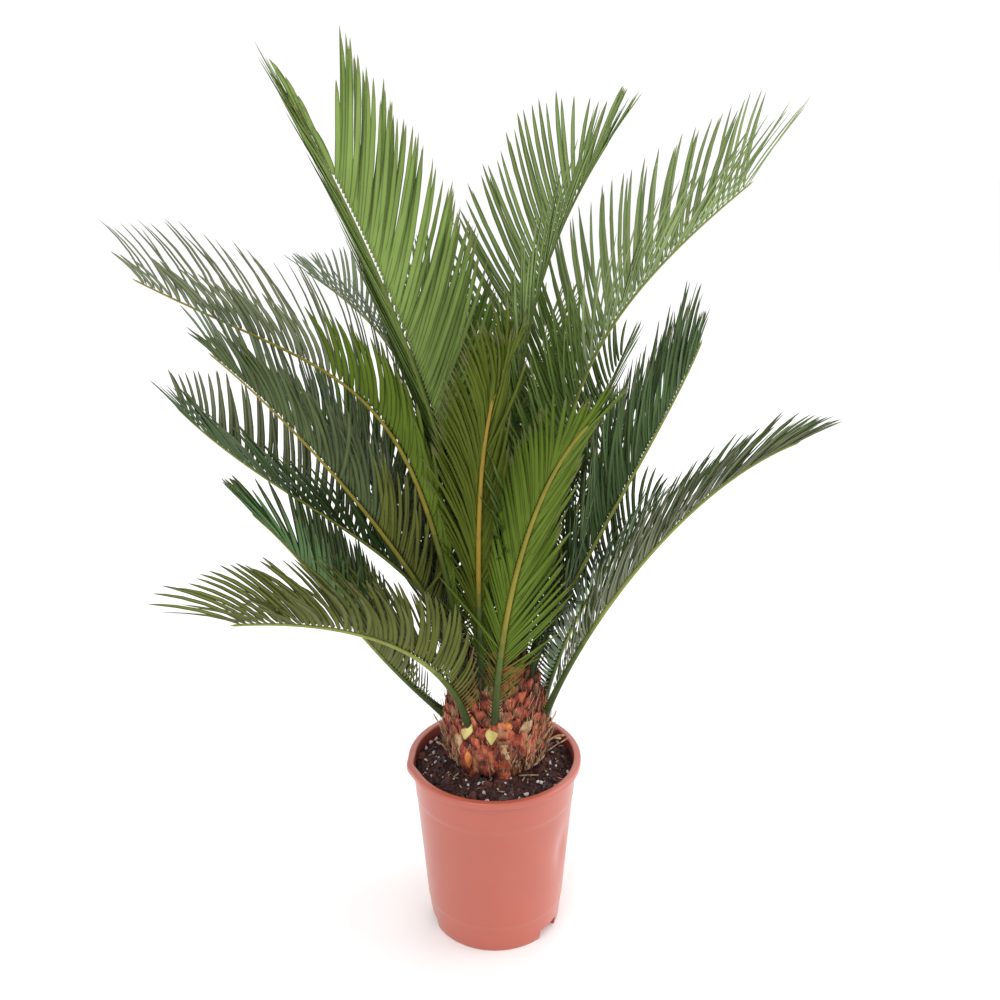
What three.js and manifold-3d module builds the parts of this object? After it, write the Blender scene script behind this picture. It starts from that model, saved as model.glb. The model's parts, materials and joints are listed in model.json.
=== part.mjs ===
// Sago palm in a plastic nursery pot: pot, soil, caudex and twenty-one fronds.
// Millimetres, +Z up, origin at the centre of the pot's underside.
import * as THREE from 'three';
import Module from 'manifold-3d';
import { mergeVertices } from 'three/addons/utils/BufferGeometryUtils.js';

const wasm = await Module();
wasm.setup();

// ---------------------------------------------------------------- pot and soil
const GAP = 0.3; // clearance between pieces that touch
const POT_HEIGHT = 210;
const POT_BASE_RADIUS = 72.4;
const POT_LIP_RADIUS = 95;
const POT_WALL = 2.2;
const POT_FLOOR = 3;
const POT_SIDES = 48;
const BAND_STEP_HEIGHT = 32; // the narrower band at the foot ends here
const COLLAR_STEP_HEIGHT = 166; // the slightly wider collar starts here
const COLLAR_STEP = 1;
const LIP_DEPTH = 8;
const LIP_INNER_RADIUS = 87;
const FOOT_POCKET_ANGLES = [325, 195, 80];
const FOOT_POCKET_HALF_WIDTH = 15;
const FOOT_POCKET_HEIGHT = 12;
const FOOT_POCKET_DEPTH = 9;
const SOIL_EDGE_HEIGHT = 197;
const SOIL_TOP_HEIGHT = 203;

// ---------------------------------------------------------------- caudex
const TRUNK_X = 2;
const TRUNK_Y = 10;
const TRUNK_SIDES = 28;
// radius of the caudex at heights above its flat foot
const TRUNK_PROFILE = [
  [50, 0], [55, 10], [58, 32], [57, 48], [52, 64], [45, 84], [37, 104], [28, 122], [18, 136], [8, 143],
];
const TRUNK_FOOT = SOIL_TOP_HEIGHT + GAP;

// rings of the caudex that the stalks grow from
const FOOT_RINGS = {
  upper: { radius: 18, height: 326 },
  middle: { radius: 35, height: 300 },
  lower: { radius: 50, height: 250 },
};

// ---------------------------------------------------------------- frond rule
const STALK_WIDTH = 8; // at the foot
const RIB_END_WIDTH = 2.4; // at the tip
const LEAFLET_SPACING = 19;
const LEAFLET_FOOT = 6; // length of rib that one leaflet grows from
const LEAFLET_WIDTH = 10;
const LEAFLET_THICKNESS = 1.6;
const LEAFLET_KEELS = [[48, 48], [48, 48]]; // degrees either row rises out of the frond's plane, foot and tip
const KEEL_TURN = 0.5; // part of the leafy rib over which a row turns to its tip's keel
const LEAFLET_SWEEP = 12; // degrees a leaflet bends towards the frond's tip
const PRESSED_END = 0.7; // part of the leafy rib over which leaflets pressed to the rib open
const LEAST_ANGLE = 9; // between a leaflet and the rib, degrees
const SPIRE_RISE = 0.02; // part of the leafy rib over which the last leaflets change to their own length
const LENGTH_FILL = 0.3; // part of the leafy rib over which the leaflets reach full length
const LEAFLET_TRUNK_CLEARANCE = 3;
const LAST_LEAFLETS_SHUT = [0.82, 1, 26]; // from and by which part of the rib, degrees
const BARE_STALK = 0.12; // part of the frond's length without leaflets
const BARE_END = 14; // rib beyond the last leaflets
const END_POINT = 0.25; // the frond's last point beyond its rib, in longest leaflets
const RIB_FLAT = 0.3; // height of the rib's inner face over its line, in rib widths
const RIB_KEEL = 0.55; // depth of the rib's keel under its line, in rib widths
const CLEARANCE = 0.5;
const RIB_STEPS = 80;

// One row per frond: foot ring and its direction, then the tip's direction, reach and height,
// the angles from upright at foot and tip, how far each holds, the way the back of the frond
// faces at foot and tip, the longest leaflet, how soon the leaflets fill out, the opening of
// either row and its extra near the foot, the share of full length in either row, how much the
// last ones shorten, how they shut against the rib (where it begins, where it is complete,
// degrees), from where the last ones take their own length and what share that is, the keel of
// either row and the leaflets' bend.
const FRONDS = [
  {
    name: 'frond_front_centre', ring: 'middle', from: 245, to: 274, reach: 145, top: 692, lean: 4, nod: 24,
    hold: [0.5, 0.14], turn: 50, face: [270, 286], leaf: 132, opens: [-38, -27], end: 0.64,
    shut: [0.82, 0.95, 18], spire: [0.92, 2], keels: [[34, 30], [48, 48]], sweep: [8, -20],
  },
  {
    name: 'frond_front_right', ring: 'lower', from: 268, to: 301, reach: 163, top: 637, lean: 6, nod: 44,
    hold: [0.24, 0.33], face: [265, 280], leaf: 102, fill: 0.16, opens: [-32, -21], end: 0.5,
    shut: [0.78, 0.9, 40], spire: [0.92, 1.8], keels: [[16, 12], [48, 48]], sweep: [3, -3],
  },
  {
    name: 'frond_top_left', ring: 'upper', from: 225, to: 212, reach: 195, top: 910, lean: 5, nod: 30,
    hold: [0.4, 0.2], face: [238, 238], leaf: 159, opens: [-14, -24], end: 0.1, shut: [0.86, 0.865, 34],
    spire: [0.845, 0.33], keels: [[48, 48], [38, 34]], sweep: 5,
  },
  {
    name: 'frond_top_centre', ring: 'upper', from: 320, to: 10, reach: 110, top: 860, lean: 6, nod: 34,
    hold: [0.4, 0.4], face: [10, 10], leaf: 150, opens: [1, -8], end: 0.56, shut: [0.84, 0.94, 30],
    spire: [0.92, 1.35], keels: [[48, 48], [26, 26]], sweep: 6,
  },
  {
    name: 'frond_top_right', ring: 'upper', from: 15, to: 15, reach: 262, top: 816, lean: 16, nod: 53,
    hold: [0.5, 0.5], face: [15, 15], leaf: 148, opens: [-5, -3], end: 0.12, shut: [0.84, 1, -4], sweep: 7,
  },
  {
    name: 'frond_arching_left', ring: 'middle', from: 208, to: 192, reach: 326, top: 752, lean: 8, nod: 59,
    hold: [0.7, 0.42], face: [225, 192], leaf: 135, opens: [0, 0], pressed: [-64, -8], rows: [0.66, 1],
    end: 0.34, shut: [0.85, 1, 8], sweep: 14,
  },
  {
    name: 'frond_right_dark', ring: 'middle', from: 345, to: 355, reach: 200, top: 680, lean: 14, nod: 18,
    hold: [0.22, 0.22], leaf: 142, opens: [-20, -14], end: 0.62, shut: [0.88, 1, 14],
    keels: [[48, 48], [-6, 48]], sweep: 7,
  },
  {
    name: 'frond_right_low', ring: 'lower', from: 342, to: 350, reach: 296, top: 590, lean: 18, nod: 64,
    hold: [0.26, 0.3], face: [330, 345], leaf: 94, opens: [-26, -20], end: 0.3, shut: [0.82, 1, 10],
    keels: [[48, 48], [10, 36]], sweep: 10,
  },
  {
    name: 'frond_left_upper', ring: 'middle', from: 186, to: 200, reach: 268, top: 690, lean: 12, nod: 44,
    hold: [0.24, 0.3], face: [215, 200], leaf: 124, opens: [-20, -4], rows: [0.74, 1.05], end: 0.4,
    shut: [0.8, 1, 14], keels: [[85, 70], [48, 48]], sweep: 10,
  },
  {
    name: 'frond_left_middle', ring: 'middle', from: 164, to: 172, reach: 325, top: 595, lean: 10, nod: 42,
    leaf: 102, opens: [-10, 12], end: 0.4, shut: [0.8, 1, 24], keels: [[60, 58], [48, 48]], sweep: 7,
  },
  {
    name: 'frond_left_lowest', ring: 'lower', from: 238, to: 205, reach: 274, top: 430, lean: 12, nod: 84,
    hold: [0.5, 0.25], leaf: 104, opens: [6, -4], pressed: [-20, 0], end: 0.08, shut: [0.82, 1, 16],
    spire: [0.9, 1.12], sweep: 15,
  },
  {
    name: 'frond_left_lower', ring: 'lower', from: 180, to: 178, reach: 246, top: 492, lean: 48, nod: 46,
    hold: [0.45, 0.3], leaf: 105, opens: [4, -14], end: 0.3, shut: [0.74, 0.82, 30], sweep: 4,
  },
  {
    name: 'frond_back_left_high', ring: 'upper', from: 160, to: 130, reach: 330, top: 690, lean: 6, nod: 70,
    hold: [0.4, 0.45], turn: 15, leaf: 92, end: 0.4, sweep: 8,
  },
  {
    name: 'frond_back_right', ring: 'middle', from: 40, to: 45, reach: 205, top: 630, lean: 10, nod: 36,
    leaf: 110, end: 0.5, sweep: 9,
  },
  {
    name: 'frond_back_high_right', ring: 'upper', from: 62, to: 76, reach: 275, top: 640, lean: 8, nod: 56,
    leaf: 112, end: 0.4,
  },
  {
    name: 'frond_back_high', ring: 'upper', from: 112, to: 112, reach: 250, top: 705, lean: 6, nod: 50,
    leaf: 105, opens: [-6, -6], end: 0.4,
  },
  {
    name: 'frond_back_left', ring: 'middle', from: 140, to: 155, reach: 240, top: 585, lean: 12, nod: 50,
    leaf: 105, end: 0.5,
  },
  {
    name: 'frond_back_low_right', ring: 'lower', from: 55, to: 58, reach: 290, top: 525, lean: 24, nod: 62,
    leaf: 105, end: 0.5,
  },
  {
    name: 'frond_back_low', ring: 'lower', from: 97, to: 95, reach: 315, top: 500, lean: 24, nod: 66,
    leaf: 105, end: 0.5,
  },
  {
    name: 'frond_back_low_left', ring: 'lower', from: 137, to: 132, reach: 300, top: 510, lean: 24, nod: 64,
    leaf: 105, end: 0.5,
  },
  {
    name: 'frond_right_inner', ring: 'lower', from: 15, to: 18, reach: 185, top: 485, lean: 14, nod: 42,
    leaf: 95, end: 0.5,
  },
];

// ---------------------------------------------------------------- colours
const POT_PLASTIC = { color: 0xcf7a68, roughness: 0.45, metalness: 0 };
const SOIL_DARK = { color: 0x2b1f1c, roughness: 0.95, metalness: 0 };
const CAUDEX_BROWN = { color: 0x8a4a2f, roughness: 0.85, metalness: 0 };
const FROND_GREEN = { color: 0x4c7034, roughness: 0.5, metalness: 0 };

// ---------------------------------------------------------------- helpers
const rad = (degrees) => (degrees * Math.PI) / 180;
const clamp01 = (x) => Math.min(Math.max(x, 0), 1);
const ease = (x) => clamp01(x) ** 2 * (3 - 2 * clamp01(x));
const mix = (a, b, t) => a + (b - a) * t;
const vec = (x, y, z) => new THREE.Vector3(x, y, z);
const heading = (degrees) => vec(Math.cos(rad(degrees)), Math.sin(rad(degrees)), 0);
const UP = vec(0, 0, 1);

function solidOf(geometry) {
  const bare = geometry.clone();
  bare.deleteAttribute('normal');
  bare.deleteAttribute('uv');
  const merged = mergeVertices(bare, 1e-4);
  return new wasm.Manifold(new wasm.Mesh({
    numProp: 3,
    vertProperties: new Float32Array(merged.attributes.position.array),
    triVerts: new Uint32Array(merged.index.array),
  }));
}

function geometryOf(solid) {
  const mesh = solid.getMesh();
  const geometry = new THREE.BufferGeometry();
  geometry.setAttribute('position', new THREE.BufferAttribute(new Float32Array(mesh.vertProperties), 3));
  geometry.setIndex(new THREE.BufferAttribute(new Uint32Array(mesh.triVerts), 1));
  geometry.computeVertexNormals();
  return geometry;
}

function named(name, geometry, look) {
  const mesh = new THREE.Mesh(geometry, new THREE.MeshStandardMaterial(look));
  mesh.name = name;
  return mesh;
}

// a profile of [radius, height] pairs turned round the Z axis
function turned(profile, sides) {
  const points = profile.map(([r, z]) => new THREE.Vector2(r, z));
  return new THREE.LatheGeometry(points, sides).rotateX(Math.PI / 2);
}

function solidFromTriangles(corners, faces) {
  const geometry = new THREE.BufferGeometry();
  const flat = new Float32Array(corners.flatMap((p) => [p.x, p.y, p.z]));
  geometry.setAttribute('position', new THREE.BufferAttribute(flat, 3));
  geometry.setIndex(faces.flat());
  geometry.computeVertexNormals();
  return geometry;
}

// ---------------------------------------------------------------- pot
const lipBottom = POT_HEIGHT - LIP_DEPTH;
const wallRadius = (z) => mix(POT_BASE_RADIUS + 1.6, 89.6, z / lipBottom);

function potBlock(angle, inner, outer, halfWidth, low, high) {
  const block = new THREE.BoxGeometry(outer - inner, 2 * halfWidth, high - low);
  block.translate((inner + outer) / 2, 0, (low + high) / 2);
  return solidOf(block.rotateZ(rad(angle)));
}

function makePot() {
  const outer = [
    [0, 0], [POT_BASE_RADIUS - 1.2, 0], [POT_BASE_RADIUS, 1.2],
    [wallRadius(BAND_STEP_HEIGHT) - 0.8, BAND_STEP_HEIGHT], [wallRadius(BAND_STEP_HEIGHT + 1), BAND_STEP_HEIGHT + 1],
    [wallRadius(COLLAR_STEP_HEIGHT), COLLAR_STEP_HEIGHT],
    [wallRadius(COLLAR_STEP_HEIGHT + 1) + COLLAR_STEP, COLLAR_STEP_HEIGHT + 1],
    [wallRadius(lipBottom) + COLLAR_STEP, lipBottom],
    [POT_LIP_RADIUS - 0.8, lipBottom], [POT_LIP_RADIUS, lipBottom + 1.5],
    [POT_LIP_RADIUS, POT_HEIGHT - 3], [POT_LIP_RADIUS - 2.5, POT_HEIGHT], [LIP_INNER_RADIUS + 2, POT_HEIGHT],
    [LIP_INNER_RADIUS, POT_HEIGHT - 2], [LIP_INNER_RADIUS, lipBottom - 6],
    [wallRadius(BAND_STEP_HEIGHT) - POT_WALL - 0.8, BAND_STEP_HEIGHT],
    [POT_BASE_RADIUS - POT_WALL, POT_FLOOR], [0, POT_FLOOR],
  ];
  let pot = solidOf(turned(outer, POT_SIDES));
  const innerFace = POT_BASE_RADIUS - FOOT_POCKET_DEPTH;
  for (const angle of FOOT_POCKET_ANGLES) {
    const w = FOOT_POCKET_HALF_WIDTH;
    const shell = potBlock(angle, innerFace - POT_WALL, POT_BASE_RADIUS - 3.5, w + POT_WALL, 1, FOOT_POCKET_HEIGHT + POT_WALL);
    const hollow = potBlock(angle, innerFace, POT_BASE_RADIUS + 12, w, -1, FOOT_POCKET_HEIGHT);
    pot = pot.add(shell).subtract(hollow);
  }
  return pot;
}

function makeSoil() {
  const inner = (z) => (z < BAND_STEP_HEIGHT
    ? mix(POT_BASE_RADIUS - POT_WALL, wallRadius(BAND_STEP_HEIGHT) - POT_WALL - 0.8, (z - POT_FLOOR) / (BAND_STEP_HEIGHT - POT_FLOOR))
    : mix(wallRadius(BAND_STEP_HEIGHT) - POT_WALL - 0.8, LIP_INNER_RADIUS, (z - BAND_STEP_HEIGHT) / (lipBottom - 6 - BAND_STEP_HEIGHT)));
  const low = POT_FLOOR + GAP;
  const wallEdge = lipBottom - 6;
  const profile = [
    [0, low], [inner(low) - GAP - 0.1, low], [inner(BAND_STEP_HEIGHT) - GAP - 0.1, BAND_STEP_HEIGHT],
    [inner(wallEdge) - GAP - 0.1, wallEdge], [LIP_INNER_RADIUS - GAP - 0.1, SOIL_EDGE_HEIGHT],
    [76, SOIL_EDGE_HEIGHT + 1.5], [66, SOIL_TOP_HEIGHT], [0, SOIL_TOP_HEIGHT],
  ];
  let soil = solidOf(turned(profile, POT_SIDES));
  const innerFace = POT_BASE_RADIUS - FOOT_POCKET_DEPTH;
  for (const angle of FOOT_POCKET_ANGLES) {
    const w = FOOT_POCKET_HALF_WIDTH + POT_WALL + GAP;
    soil = soil.subtract(potBlock(angle, innerFace - POT_WALL - GAP, POT_BASE_RADIUS + 12, w, 0, FOOT_POCKET_HEIGHT + POT_WALL + GAP));
  }
  return soil;
}

// ---------------------------------------------------------------- frond rib
function ribOf(frond) {
  const ring = FOOT_RINGS[frond.ring];
  const away = heading(frond.from);
  const foot = away.clone().multiplyScalar(ring.radius).add(vec(TRUNK_X, TRUNK_Y, ring.height));
  const tip = heading(frond.to).multiplyScalar(frond.reach).add(vec(0, 0, frond.top));
  const course = (Math.atan2(tip.y - foot.y, tip.x - foot.x) * 180) / Math.PI + (frond.turn ?? 0);
  const chord = foot.distanceTo(tip);
  const [footHold, tipHold] = frond.hold ?? [0.36, 0.36];
  const rise = away.clone().multiplyScalar(Math.sin(rad(frond.lean))).addScaledVector(UP, Math.cos(rad(frond.lean)));
  const fall = heading(course).multiplyScalar(Math.sin(rad(frond.nod))).addScaledVector(UP, Math.cos(rad(frond.nod)));
  const curve = new THREE.CubicBezierCurve3(
    foot,
    foot.clone().addScaledVector(rise, footHold * chord),
    tip.clone().addScaledVector(fall, -tipHold * chord),
    tip,
  );
  const points = curve.getPoints(RIB_STEPS);
  const along = [0];
  for (let i = 1; i <= RIB_STEPS; i += 1) along.push(along[i - 1] + points[i].distanceTo(points[i - 1]));
  const length = along[RIB_STEPS];
  const [faceFoot, faceTip] = frond.face ?? [frond.from, course];
  const swing = ((faceTip - faceFoot + 540) % 360) - 180;

  // place, direction and the two cross directions at a distance along the rib
  const frameAt = (s) => {
    const x = Math.min(Math.max(s, 0), length - 1e-6);
    let i = 0;
    while (i < RIB_STEPS - 1 && along[i + 1] < x) i += 1;
    const t = (x - along[i]) / (along[i + 1] - along[i]);
    const place = points[i].clone().lerp(points[i + 1], t);
    const ahead = points[Math.min(i + 2, RIB_STEPS)].clone().sub(points[Math.max(i - 1, 0)]).normalize();
    const face = rad(faceFoot + swing * (x / length));
    const side = vec(-Math.sin(face), Math.cos(face), 0);
    side.addScaledVector(ahead, -side.dot(ahead)).normalize();
    const inward = ahead.clone().cross(side);
    return { place, ahead, side, inward };
  };
  return { frond, length, frameAt };
}

const ribWidth = (s, length) => mix(STALK_WIDTH, RIB_END_WIDTH, (s / length) ** 0.8);

// distances along the rib where its section is set: down the bare stalk, then at each leaflet's foot
function stationsOf({ length }) {
  const leafStart = BARE_STALK * length;
  const count = Math.round((length - leafStart - BARE_END) / LEAFLET_SPACING);
  const spacing = (length - leafStart - BARE_END) / count;
  const stations = [0, leafStart * 0.35, leafStart * 0.7];
  const leaflets = [];
  for (let k = 0; k < count; k += 1) {
    const s = leafStart + spacing * (k + 0.5);
    leaflets.push({ s, u: (s - leafStart) / (length - leafStart) });
    stations.push(s - LEAFLET_FOOT / 2, s + LEAFLET_FOOT / 2);
  }
  stations.push(length - 4);
  return { stations, leaflets, bare: 3 };
}

// the three corners of the rib's section: two on the inner face and one at the keel
function ribSection(rib, s) {
  const { place, side, inward } = rib.frameAt(s);
  const w = ribWidth(s, rib.length);
  return [
    place.clone().addScaledVector(side, w / 2).addScaledVector(inward, w * RIB_FLAT),
    place.clone().addScaledVector(side, -w / 2).addScaledVector(inward, w * RIB_FLAT),
    place.clone().addScaledVector(inward, -w * RIB_KEEL),
  ];
}

// length and opening angle of the leaflet at part u of the leafy rib
function leafletRule(frond, u, row) {
  const filled = 0.25 + 0.75 * ease(u / (frond.fill ?? LENGTH_FILL));
  const length = frond.leaf * filled * (1 - 0.15 * ease((u - 0.4) / 0.4) - frond.end * ease((u - 0.8) / 0.2));
  const [shutFrom, shutBy, shut] = frond.shut ?? LAST_LEAFLETS_SHUT;
  const angle = (frond.opens?.[row] ?? 0) + 66 - 18 * ease(u / 0.45) - 8 * ease((u - 0.5) / 0.38)
    - shut * ease((u - shutFrom) / (shutBy - shutFrom))
    + (frond.pressed?.[row] ?? 0) * (1 - ease(u / PRESSED_END));
  const [spireFrom, spire] = frond.spire ?? [1, 1];
  const share = (frond.rows?.[row] ?? 1) * mix(1, spire, ease((u - spireFrom) / SPIRE_RISE));
  const keel = mix(...(frond.keels ?? LEAFLET_KEELS)[row], ease(u / KEEL_TURN));
  return { length: length * share, angle: Math.max(angle, LEAST_ANGLE), keel };
}

// leaflet as a bent blade: its foot on the rib, a widest section and a tip
function leafletBlade(rib, s, hand, length, angle, keel) {
  const { place, ahead, side, inward } = rib.frameAt(s);
  const out = side.clone().multiplyScalar(hand * Math.cos(rad(keel))).addScaledVector(inward, Math.sin(rad(keel)));
  const course = (a) => ahead.clone().multiplyScalar(Math.cos(rad(a))).addScaledVector(out, Math.sin(rad(a)));
  const sweep = [rib.frond.sweep ?? LEAFLET_SWEEP].flat().at(hand > 0 ? 0 : -1);
  const first = course(angle + sweep * 0.4);
  const last = course(angle - sweep * 0.6);
  const middle = place.clone().addScaledVector(first, length * 0.5);
  const tip = middle.clone().addScaledVector(last, length * 0.5);
  const run = course(angle);
  const across = ahead.clone().addScaledVector(run, -ahead.dot(run)).normalize();
  const under = run.clone().cross(across).normalize();
  if (under.dot(inward) > 0) under.negate();
  const width = Math.min(LEAFLET_WIDTH, 0.62 * LEAFLET_SPACING * Math.sin(rad(angle)), length * 0.14);
  return {
    lead: middle.clone().addScaledVector(across, width / 2),
    trail: middle.clone().addScaledVector(across, -width / 2),
    belly: middle.clone().addScaledVector(under, Math.max(LEAFLET_THICKNESS, length / 90)),
    tip,
    foot: [
      place.clone().addScaledVector(ahead, -LEAFLET_FOOT / 2),
      place.clone().addScaledVector(ahead, LEAFLET_FOOT / 2),
    ],
  };
}

// ---------------------------------------------------------------- distances
function segmentDistance(p1, q1, p2, q2) {
  const d1 = q1.clone().sub(p1);
  const d2 = q2.clone().sub(p2);
  const r = p1.clone().sub(p2);
  const a = d1.dot(d1);
  const e = d2.dot(d2);
  const f = d2.dot(r);
  const c = d1.dot(r);
  const b = d1.dot(d2);
  const denom = a * e - b * b;
  let s = denom > 1e-9 ? clamp01((b * f - c * e) / denom) : 0;
  let t = (b * s + f) / e;
  if (t < 0) {
    t = 0;
    s = clamp01(-c / a);
  } else if (t > 1) {
    t = 1;
    s = clamp01((b - c) / a);
  }
  return p1.clone().addScaledVector(d1, s).distanceTo(p2.clone().addScaledVector(d2, t));
}

const scratchTriangle = new THREE.Triangle();
const scratchPoint = new THREE.Vector3();
const scratchRay = new THREE.Ray();

function pointTriangleDistance(p, tri) {
  scratchTriangle.set(...tri);
  scratchTriangle.closestPointToPoint(p, scratchPoint);
  return scratchPoint.distanceTo(p);
}

function segmentMeetsTriangle(a, b, tri) {
  scratchRay.origin.copy(a);
  scratchRay.direction.copy(b).sub(a);
  const span = scratchRay.direction.length();
  scratchRay.direction.divideScalar(span);
  const hit = scratchRay.intersectTriangle(...tri, false, scratchPoint);
  return Boolean(hit) && scratchPoint.distanceTo(a) <= span;
}

function segmentTriangleDistance(a, b, tri) {
  if (segmentMeetsTriangle(a, b, tri)) return 0;
  let best = Math.min(pointTriangleDistance(a, tri), pointTriangleDistance(b, tri));
  for (let i = 0; i < 3; i += 1) best = Math.min(best, segmentDistance(a, b, tri[i], tri[(i + 1) % 3]));
  return best;
}

function triangleDistance(t1, t2) {
  let best = Infinity;
  for (let i = 0; i < 3 && best > 0; i += 1) {
    best = Math.min(best, segmentTriangleDistance(t1[i], t1[(i + 1) % 3], t2));
    best = Math.min(best, segmentTriangleDistance(t2[i], t2[(i + 1) % 3], t1));
  }
  return best;
}

const bladeTriangles = ({ foot, lead, trail, tip }) => [[foot[0], foot[1], lead], [foot[0], lead, trail], [trail, lead, tip]];

function boxOf(points, pad) {
  return new THREE.Box3().setFromPoints(points).expandByScalar(pad);
}

// ---------------------------------------------------------------- growing the crown
const ribs = FRONDS.map(ribOf);
const stems = ribs.map((rib) => {
  const pieces = [];
  const steps = Math.ceil(rib.length / 18);
  for (let i = 0; i < steps; i += 1) {
    const a = rib.frameAt((rib.length * i) / steps).place;
    const b = rib.frameAt((rib.length * (i + 1)) / steps).place;
    const half = ribWidth((rib.length * i) / steps, rib.length) * 0.58;
    pieces.push({ a, b, half, box: boxOf([a, b], half + 3) });
  }
  return pieces;
});

for (let i = 0; i < ribs.length; i += 1) {
  for (let j = i + 1; j < ribs.length; j += 1) {
    for (const p of stems[i]) {
      for (const q of stems[j]) {
        if (p.box.intersectsBox(q.box) && segmentDistance(p.a, p.b, q.a, q.b) < p.half + q.half) {
          throw new Error(`${FRONDS[i].name} meets ${FRONDS[j].name} at ${p.a.toArray().map(Math.round)}`);
        }
      }
    }
  }
}

function trunkRadiusAt(z) {
  const h = z - TRUNK_FOOT;
  for (let i = 1; i < TRUNK_PROFILE.length; i += 1) {
    const [r0, h0] = TRUNK_PROFILE[i - 1];
    const [r1, h1] = TRUNK_PROFILE[i];
    if (h <= h1) return mix(r0, r1, clamp01((h - h0) / (h1 - h0)));
  }
  return -100;
}

function clearOfTrunkAndPot(blade) {
  const [start] = blade.foot;
  for (const end of [blade.lead, blade.trail, blade.tip]) {
    for (let t = 0.15; t <= 1; t += 0.17) {
      const p = start.clone().lerp(end, t);
      if (p.z < POT_HEIGHT + 4 && Math.hypot(p.x, p.y) < POT_LIP_RADIUS + 4) return false;
      if (Math.hypot(p.x - TRUNK_X, p.y - TRUNK_Y) < trunkRadiusAt(p.z) + LEAFLET_TRUNK_CLEARANCE) return false;
    }
  }
  return true;
}

const placed = [];

function isFree(blade, owner) {
  const triangles = bladeTriangles(blade);
  const box = boxOf(triangles.flat(), LEAFLET_THICKNESS + CLEARANCE);
  for (let k = 0; k < stems.length; k += 1) {
    if (k === owner) continue;
    for (const piece of stems[k]) {
      if (!piece.box.intersectsBox(box)) continue;
      for (const tri of triangles) {
        if (segmentTriangleDistance(piece.a, piece.b, tri) < piece.half + LEAFLET_THICKNESS + CLEARANCE) return false;
      }
    }
  }
  for (const other of placed) {
    if (!other.box.intersectsBox(box)) continue;
    const need = other.owner === owner ? LEAFLET_THICKNESS * 0.8 : 2 * LEAFLET_THICKNESS + CLEARANCE;
    for (const t1 of triangles) {
      for (const t2 of other.triangles) {
        if (triangleDistance(t1, t2) < need) return false;
      }
    }
  }
  return true;
}

// walls of a blade, from the foot on one side face of the rib to its widest section and its tip
function bladeWalls([e0, e1, k0, k1], { lead, trail, belly, tip }) {
  return [
    [e0, e1, lead], [e0, lead, trail], [e1, k1, belly], [e1, belly, lead],
    [k1, k0, belly], [k0, e0, trail], [k0, trail, belly],
    [trail, lead, tip], [lead, belly, tip], [belly, trail, tip],
  ];
}

// whether one face passes through the other; edges that end on a shared corner don't count
function facesCross(f, g) {
  for (const [one, other] of [[f, g], [g, f]]) {
    for (let i = 0; i < 3; i += 1) {
      const a = one[i];
      const b = one[(i + 1) % 3];
      if (!other.includes(a) && !other.includes(b) && segmentMeetsTriangle(a, b, other)) return true;
    }
  }
  return false;
}

const groupOf = (faces) => ({ faces, box: boxOf(faces.flat(), CLEARANCE) });

// whether a blade's walls stay out of each other and of the rest of their own frond
function keepsToItself(walls, ownGroups) {
  const { box } = groupOf(walls);
  for (const group of ownGroups) {
    if (!group.box.intersectsBox(box)) continue;
    for (const face of group.faces) {
      if (walls.some((wall) => facesCross(wall, face))) return false;
    }
  }
  return walls.every((wall, i) => walls.slice(i + 1).every((next) => !facesCross(wall, next)));
}

// a leaflet that is in the way of another piece turns a little, then grows shorter, or is left out
const TURNS = [
  [0, 0], [0, 8], [0, -8], [7, 0], [-7, 0], [7, 9], [-7, -9], [-7, 9], [0, 16], [0, -16],
  [14, 0], [14, 9], [14, -9], [21, 0],
];
const SHORTENINGS = [1, 0.82, 0.64, 0.46];

function growLeaflet(rib, owner, { s, u, hand, foot, ownGroups }) {
  const { length, angle, keel } = leafletRule(rib.frond, u, hand > 0 ? 0 : 1);
  for (const part of SHORTENINGS) {
    for (const [dAngle, dKeel] of TURNS) {
      const leafAngle = Math.max(angle + dAngle, LEAST_ANGLE);
      const blade = leafletBlade(rib, s, hand, length * part, leafAngle, keel + dKeel);
      const walls = bladeWalls(foot, blade);
      if (clearOfTrunkAndPot(blade) && isFree(blade, owner) && keepsToItself(walls, ownGroups)) {
        const triangles = bladeTriangles(blade);
        placed.push({ owner, triangles, box: boxOf(triangles.flat(), LEAFLET_THICKNESS + CLEARANCE) });
        return walls;
      }
    }
  }
  return null;
}

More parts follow.
